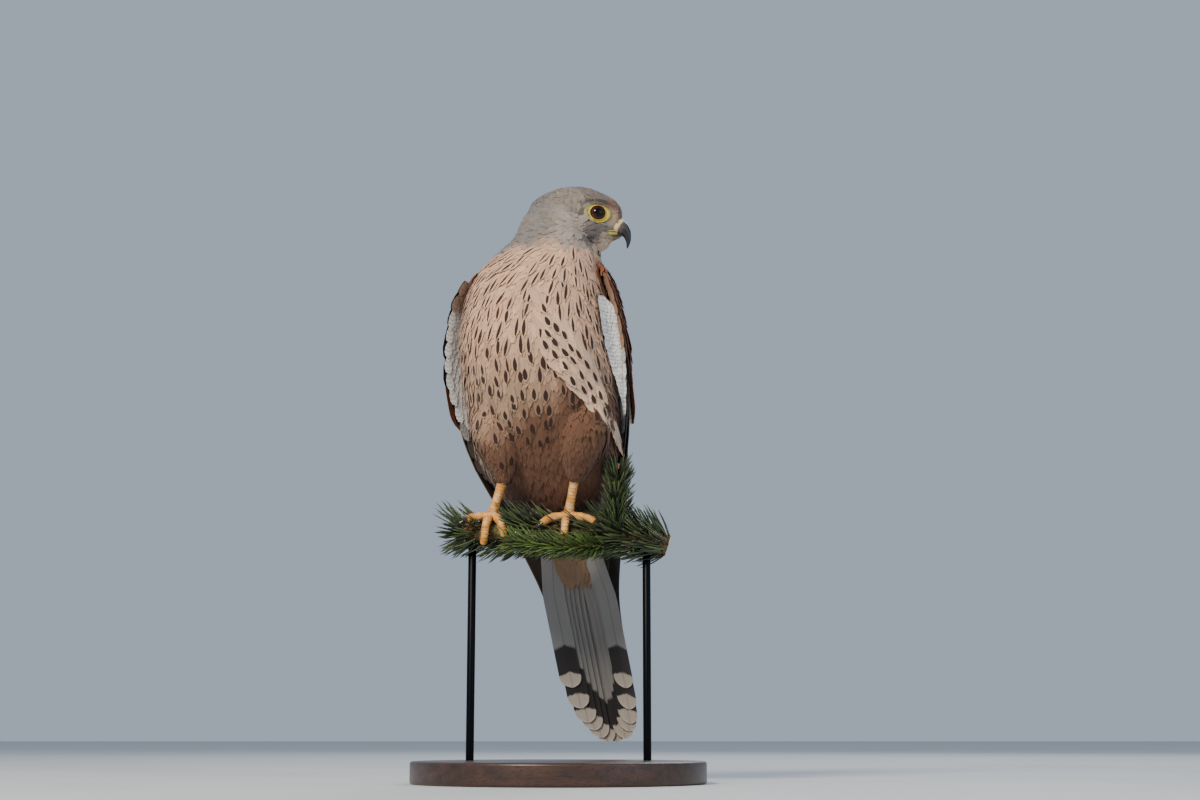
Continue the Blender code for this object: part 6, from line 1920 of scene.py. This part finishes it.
# The lips of the gape, from the bill back under the eye: forward, out, up
UPPER_LIP = ((24.5, 4.3, -8.8), (20.5, 6.7, -9.5), (17.0, 8.3, -10.7), (13.8, 9.4, -12.2))
LOWER_LIP = ((24.5, 4.0, -10.4), (20.0, 6.4, -11.0), (16.6, 8.3, -12.0), (13.6, 9.4, -12.7))
NOSTRIL = (24.0, 4.5, -3.4)
HORN_BASE = "#a1978c"
HORN_MID = "#4d4640"
HORN_TIP = "#131214"
HORN_OLIVE = "#5f5434"
CERE_YELLOW = "#c9ad6c"
CERE_PALE = "#d6c9ab"
# Painted shade inside each nostril's opening.
NOSTRIL_SHADE = "#3d2c18"
GAPE_YELLOW = "#b5a454"
GAPE_OLIVE = "#92854a"


def bill_rings(place, sides, grow):
    """Rings of the upper bill at places counted in sections: ovals, narrower above than below, square to its
    curve. The tooth pulls each lower edge down by a bell over the place, and the underside is flatter."""
    rows = through(BILL_SECTIONS, place)[:, :, None]
    turn = once_round(sides)
    c, s = np.cos(turn), np.sin(turn)
    forward, up, slope, tall, wide = (rows[:, k] for k in range(5))
    angle = np.radians(slope)
    grow = np.broadcast_to(grow, len(place))[:, None]
    bell = np.exp(-(((place[:, None] - TOOTH_PLACE) / 0.2) ** 2))
    tooth = TOOTH_HIGH * bell * np.exp(-(((np.abs(c) - 0.7) / 0.25) ** 2)) * (s < 0)
    lift = (tall + grow) * s * np.where(s < 0, 0.92, 1.0) - tooth
    side = (wide + grow) * c * (1.0 - 0.2 * s)
    return on_head(forward - lift * np.sin(angle), side, up + lift * np.cos(angle))


def lower_bill_rings(place, sides):
    """Rings of the lower bill: ovals cut flat above by 0.45."""
    rows = through(LOWER_BILL_SECTIONS, place)[:, :, None]
    turn = once_round(sides)
    forward, up, tall, wide = (rows[:, k] for k in range(4))
    rise = np.where(np.sin(turn) > 0, 0.45, 1.0) * tall * np.sin(turn)
    return on_head(forward, wide * np.cos(turn), up + rise)


# Polished horn: blue-grey at the root, black at the hook, with faint growth lines and a clear gloss.
horn, tree, shader = new_finish("polished_dark_horn", Roughness=0.38, Coat_Weight=0.2, Coat_Roughness=0.25)
reach = add(tree, "Attribute", attribute_name="reach")
where = add(tree, "TexCoord").outputs["Object"]
cloud = add(tree, "TexNoise", {"Vector": where, "Scale": 420.0, "Detail": 3.0})
bent = add(tree, "Math", [cloud, 0.16, reach.outputs["Fac"]], operation="MULTIPLY_ADD")
tone = add(tree, "ValToRGB", {"Fac": bent}, stops=[(0.33, HORN_BASE), (0.43, HORN_MID), (0.6, HORN_TIP)])
lines = add(tree, "Math", [reach.outputs["Fac"], 160.0], operation="MULTIPLY")
growth = add(tree, "Math", [lines], operation="SINE")
relief = add(tree, "Bump", {"Strength": 0.08, "Distance": 0.0001, "Height": growth})
feed(shader, {"Base Color": tone, "Normal": relief})
place = np.concatenate([np.linspace(1.5, 5.6, 90), np.linspace(5.65, 6.0, 14)])
upper = closed_rings("upper_horn", bill_rings(place, 64, 0.0))
set_attribute(upper, "reach", np.concatenate([np.repeat(place / 6.0, 64), [0.25, 1.0]]))
show(upper, horn, "dark_horn", "bill_upper")
place = np.linspace(0.0, 3.0, 50)
lower = closed_rings("lower_horn", lower_bill_rings(place, 40))
set_attribute(lower, "reach", np.concatenate([np.repeat(0.2 + 0.16 * place, 40), [0.2, 0.7]]))
# Horn of the lower bill: olive yellow at its root, dark towards its tip.
olive, tree, shader = new_finish("polished_olive_horn", Roughness=0.42, Coat_Weight=0.15, Coat_Roughness=0.3)
reach = add(tree, "Attribute", attribute_name="reach")
olives = [(0.3, GAPE_YELLOW), (0.46, HORN_OLIVE), (0.58, HORN_TIP)]
tone = add(tree, "ValToRGB", {"Fac": reach.outputs["Fac"]}, stops=olives)
feed(shader, {"Base Color": tone})
show(lower, olive, "dark_horn", "bill_lower")

# Cere: bare, soft and waxy, pale yellow with a matt bloom, with painted shade in the nostril.
cere_glow = {"Subsurface_Weight": 0.2, "Subsurface_Scale": 0.001}
cere_skin, tree, shader = new_finish("waxy_cere", Roughness=0.45, **cere_glow)
hollow = add(tree, "Attribute", attribute_name="hollow")
where = add(tree, "TexCoord").outputs["Object"]
cloud = add(tree, "TexNoise", {"Vector": where, "Scale": 500.0, "Detail": 4.0})
tone = add(tree, "ValToRGB", {"Fac": cloud}, stops=[(0.35, CERE_YELLOW), (0.65, CERE_PALE)])
dark = add(tree, "MixRGB", {"Fac": hollow.outputs["Fac"], "Color1": tone, "Color2": linear(NOSTRIL_SHADE)})
relief = add(tree, "Bump", {"Strength": 0.3, "Distance": 0.00015, "Height": cloud})
feed(shader, {"Base Color": dark, "Normal": relief})
place = np.linspace(0.0, 2.03, 110)
grow = 0.3 - 0.75 * step_up(1.86, 2.03, place)
rings = bill_rings(place, 110, grow)
mask = np.zeros(rings.shape[:2])
for side in (1, -1):
    hole = on_head(NOSTRIL[0], side * NOSTRIL[1], NOSTRIL[2])
    away = np.linalg.norm(rings - hole, axis=-1)
    pit = step_up(1.25, 0.75, away)
    knob = step_up(0.42, 0.2, away)
    rim = 0.16 * np.exp(-(((away - 1.45) / 0.3) ** 2))
    rings = rings - side * head_axes()[1] * (0.95 * pit - 0.6 * knob)[..., None]
    rings = rings + side * head_axes()[1] * rim[..., None]
    # The mask paints shade in each nostril's pit, round its knob.
    mask = np.maximum(mask, pit * (1 - 0.8 * knob))
cere = closed_rings("cere_skin", rings)
set_attribute(cere, "hollow", np.concatenate([mask.ravel(), [0.0, 0.0]]))
show(cere, cere_skin, "yellow_skin", "cere")

# Corners of the mouth: the same bare skin, greener, in a soft double roll.
gape_skin, tree, shader = new_finish("waxy_gape_skin", Roughness=0.4)
where = add(tree, "TexCoord").outputs["Object"]
cloud = add(tree, "TexNoise", {"Vector": where, "Scale": 600.0, "Detail": 3.0})
tone = add(tree, "ValToRGB", {"Fac": cloud}, stops=[(0.35, GAPE_OLIVE), (0.65, GAPE_YELLOW)])
feed(shader, {"Base Color": tone})
lips = []
for side in (1, -1):
    for line in (UPPER_LIP, LOWER_LIP):
        forward, out, up = through(line, np.linspace(0.0, 3.0, 40)).T
        taper = np.interp(np.linspace(0.0, 1.0, 40), (0.0, 0.3, 0.7, 1.0), (0.45, 1.0, 1.0, 0.25))
        radius = (0.5 if line == UPPER_LIP else 1.0) * taper
        lips.append(tube_rings(on_head(forward, side * out, up), np.repeat(radius[:, None], 14, axis=1)))
show(mesh_piece("gape", *merged(lips)), gape_skin, "yellow_skin")


# 13. Studio
# A pale painted floor, a pale grey-blue paper backdrop that lights evenly, a large soft key lamp up on the
# viewer's left, a weak fill on the right, and the photograph's low camera.

CAMERA_AT = (0.0224, -1.0, 0.025)
CAMERA_RISE = 10.5
LENS = 54.48
FLOOR_PALE = "#c3c7c9"
FLOOR_LIGHT = "#cdd1d3"
PAPER = "#b9c8da"
PAPER_GLOW = 0.75

floor_mesh = bpy.data.meshes.new("studio_floor")
floor_mesh.from_pydata([(-6, -3, 0), (6, -3, 0), (6, 9, 0), (-6, 9, 0)], [], [(0, 1, 2, 3)])
floor = bpy.data.objects.new("studio_floor", floor_mesh)
bpy.context.scene.collection.objects.link(floor)
# Matt emulsion paint on a floor: pale, even, with a very slight mottle.
paint, tree, shader = new_finish("matt_floor_paint", Roughness=0.75)
where = add(tree, "TexCoord").outputs["Object"]
mottle = add(tree, "TexNoise", {"Vector": where, "Scale": 6.0, "Detail": 4.0})
tone = add(tree, "ValToRGB", {"Fac": mottle}, stops=[(0.3, FLOOR_PALE), (0.7, FLOOR_LIGHT)])
feed(shader, {"Base Color": tone})
floor.data.materials.append(paint)

world = bpy.data.worlds.new("paper_backdrop")
bpy.context.scene.world = world
world.use_nodes = True
feed(world.node_tree.nodes["Background"], {"Color": linear(PAPER), "Strength": PAPER_GLOW})


def soft_lamp(name, place, aim_height, size, power, colour):
    """A square soft lamp that faces a point at a height over the middle of the stand."""
    lamp = bpy.data.lights.new(name, "AREA")
    lamp.size, lamp.energy, lamp.color = size, power, linear(colour)[:3]
    made = bpy.data.objects.new(name, lamp)
    bpy.context.scene.collection.objects.link(made)
    toward = np.array([0.0, 0.0, aim_height]) - np.array(place)
    turn = math.atan2(toward[0], -toward[1])
    tilt = math.acos(-toward[2] / np.linalg.norm(toward))
    made.location = place
    made.rotation_euler = (tilt, 0.0, turn + math.pi)


# Where each lamp hangs and the height that it faces, in metres, then its size, power and colour
soft_lamp("key_lamp", (-0.75, -1.35, 1.25), 0.24, 0.42, 42.0, "#fff0dc")
soft_lamp("fill_lamp", (1.4, -1.0, 0.7), 0.2, 1.1, 6.0, "#e4eeff")
soft_lamp("back_lamp", (0.5, 1.4, 1.2), 0.25, 0.8, 9.0, "#ffffff")

camera = bpy.data.cameras.new("photo_camera")
camera.lens, camera.sensor_width, camera.clip_end = LENS, 36.0, 50.0
view = bpy.data.objects.new("photo_camera", camera)
view.location = CAMERA_AT
view.rotation_euler = (math.radians(90.0 + CAMERA_RISE), 0.0, 0.0)
bpy.context.scene.collection.objects.link(view)
bpy.context.scene.camera = view
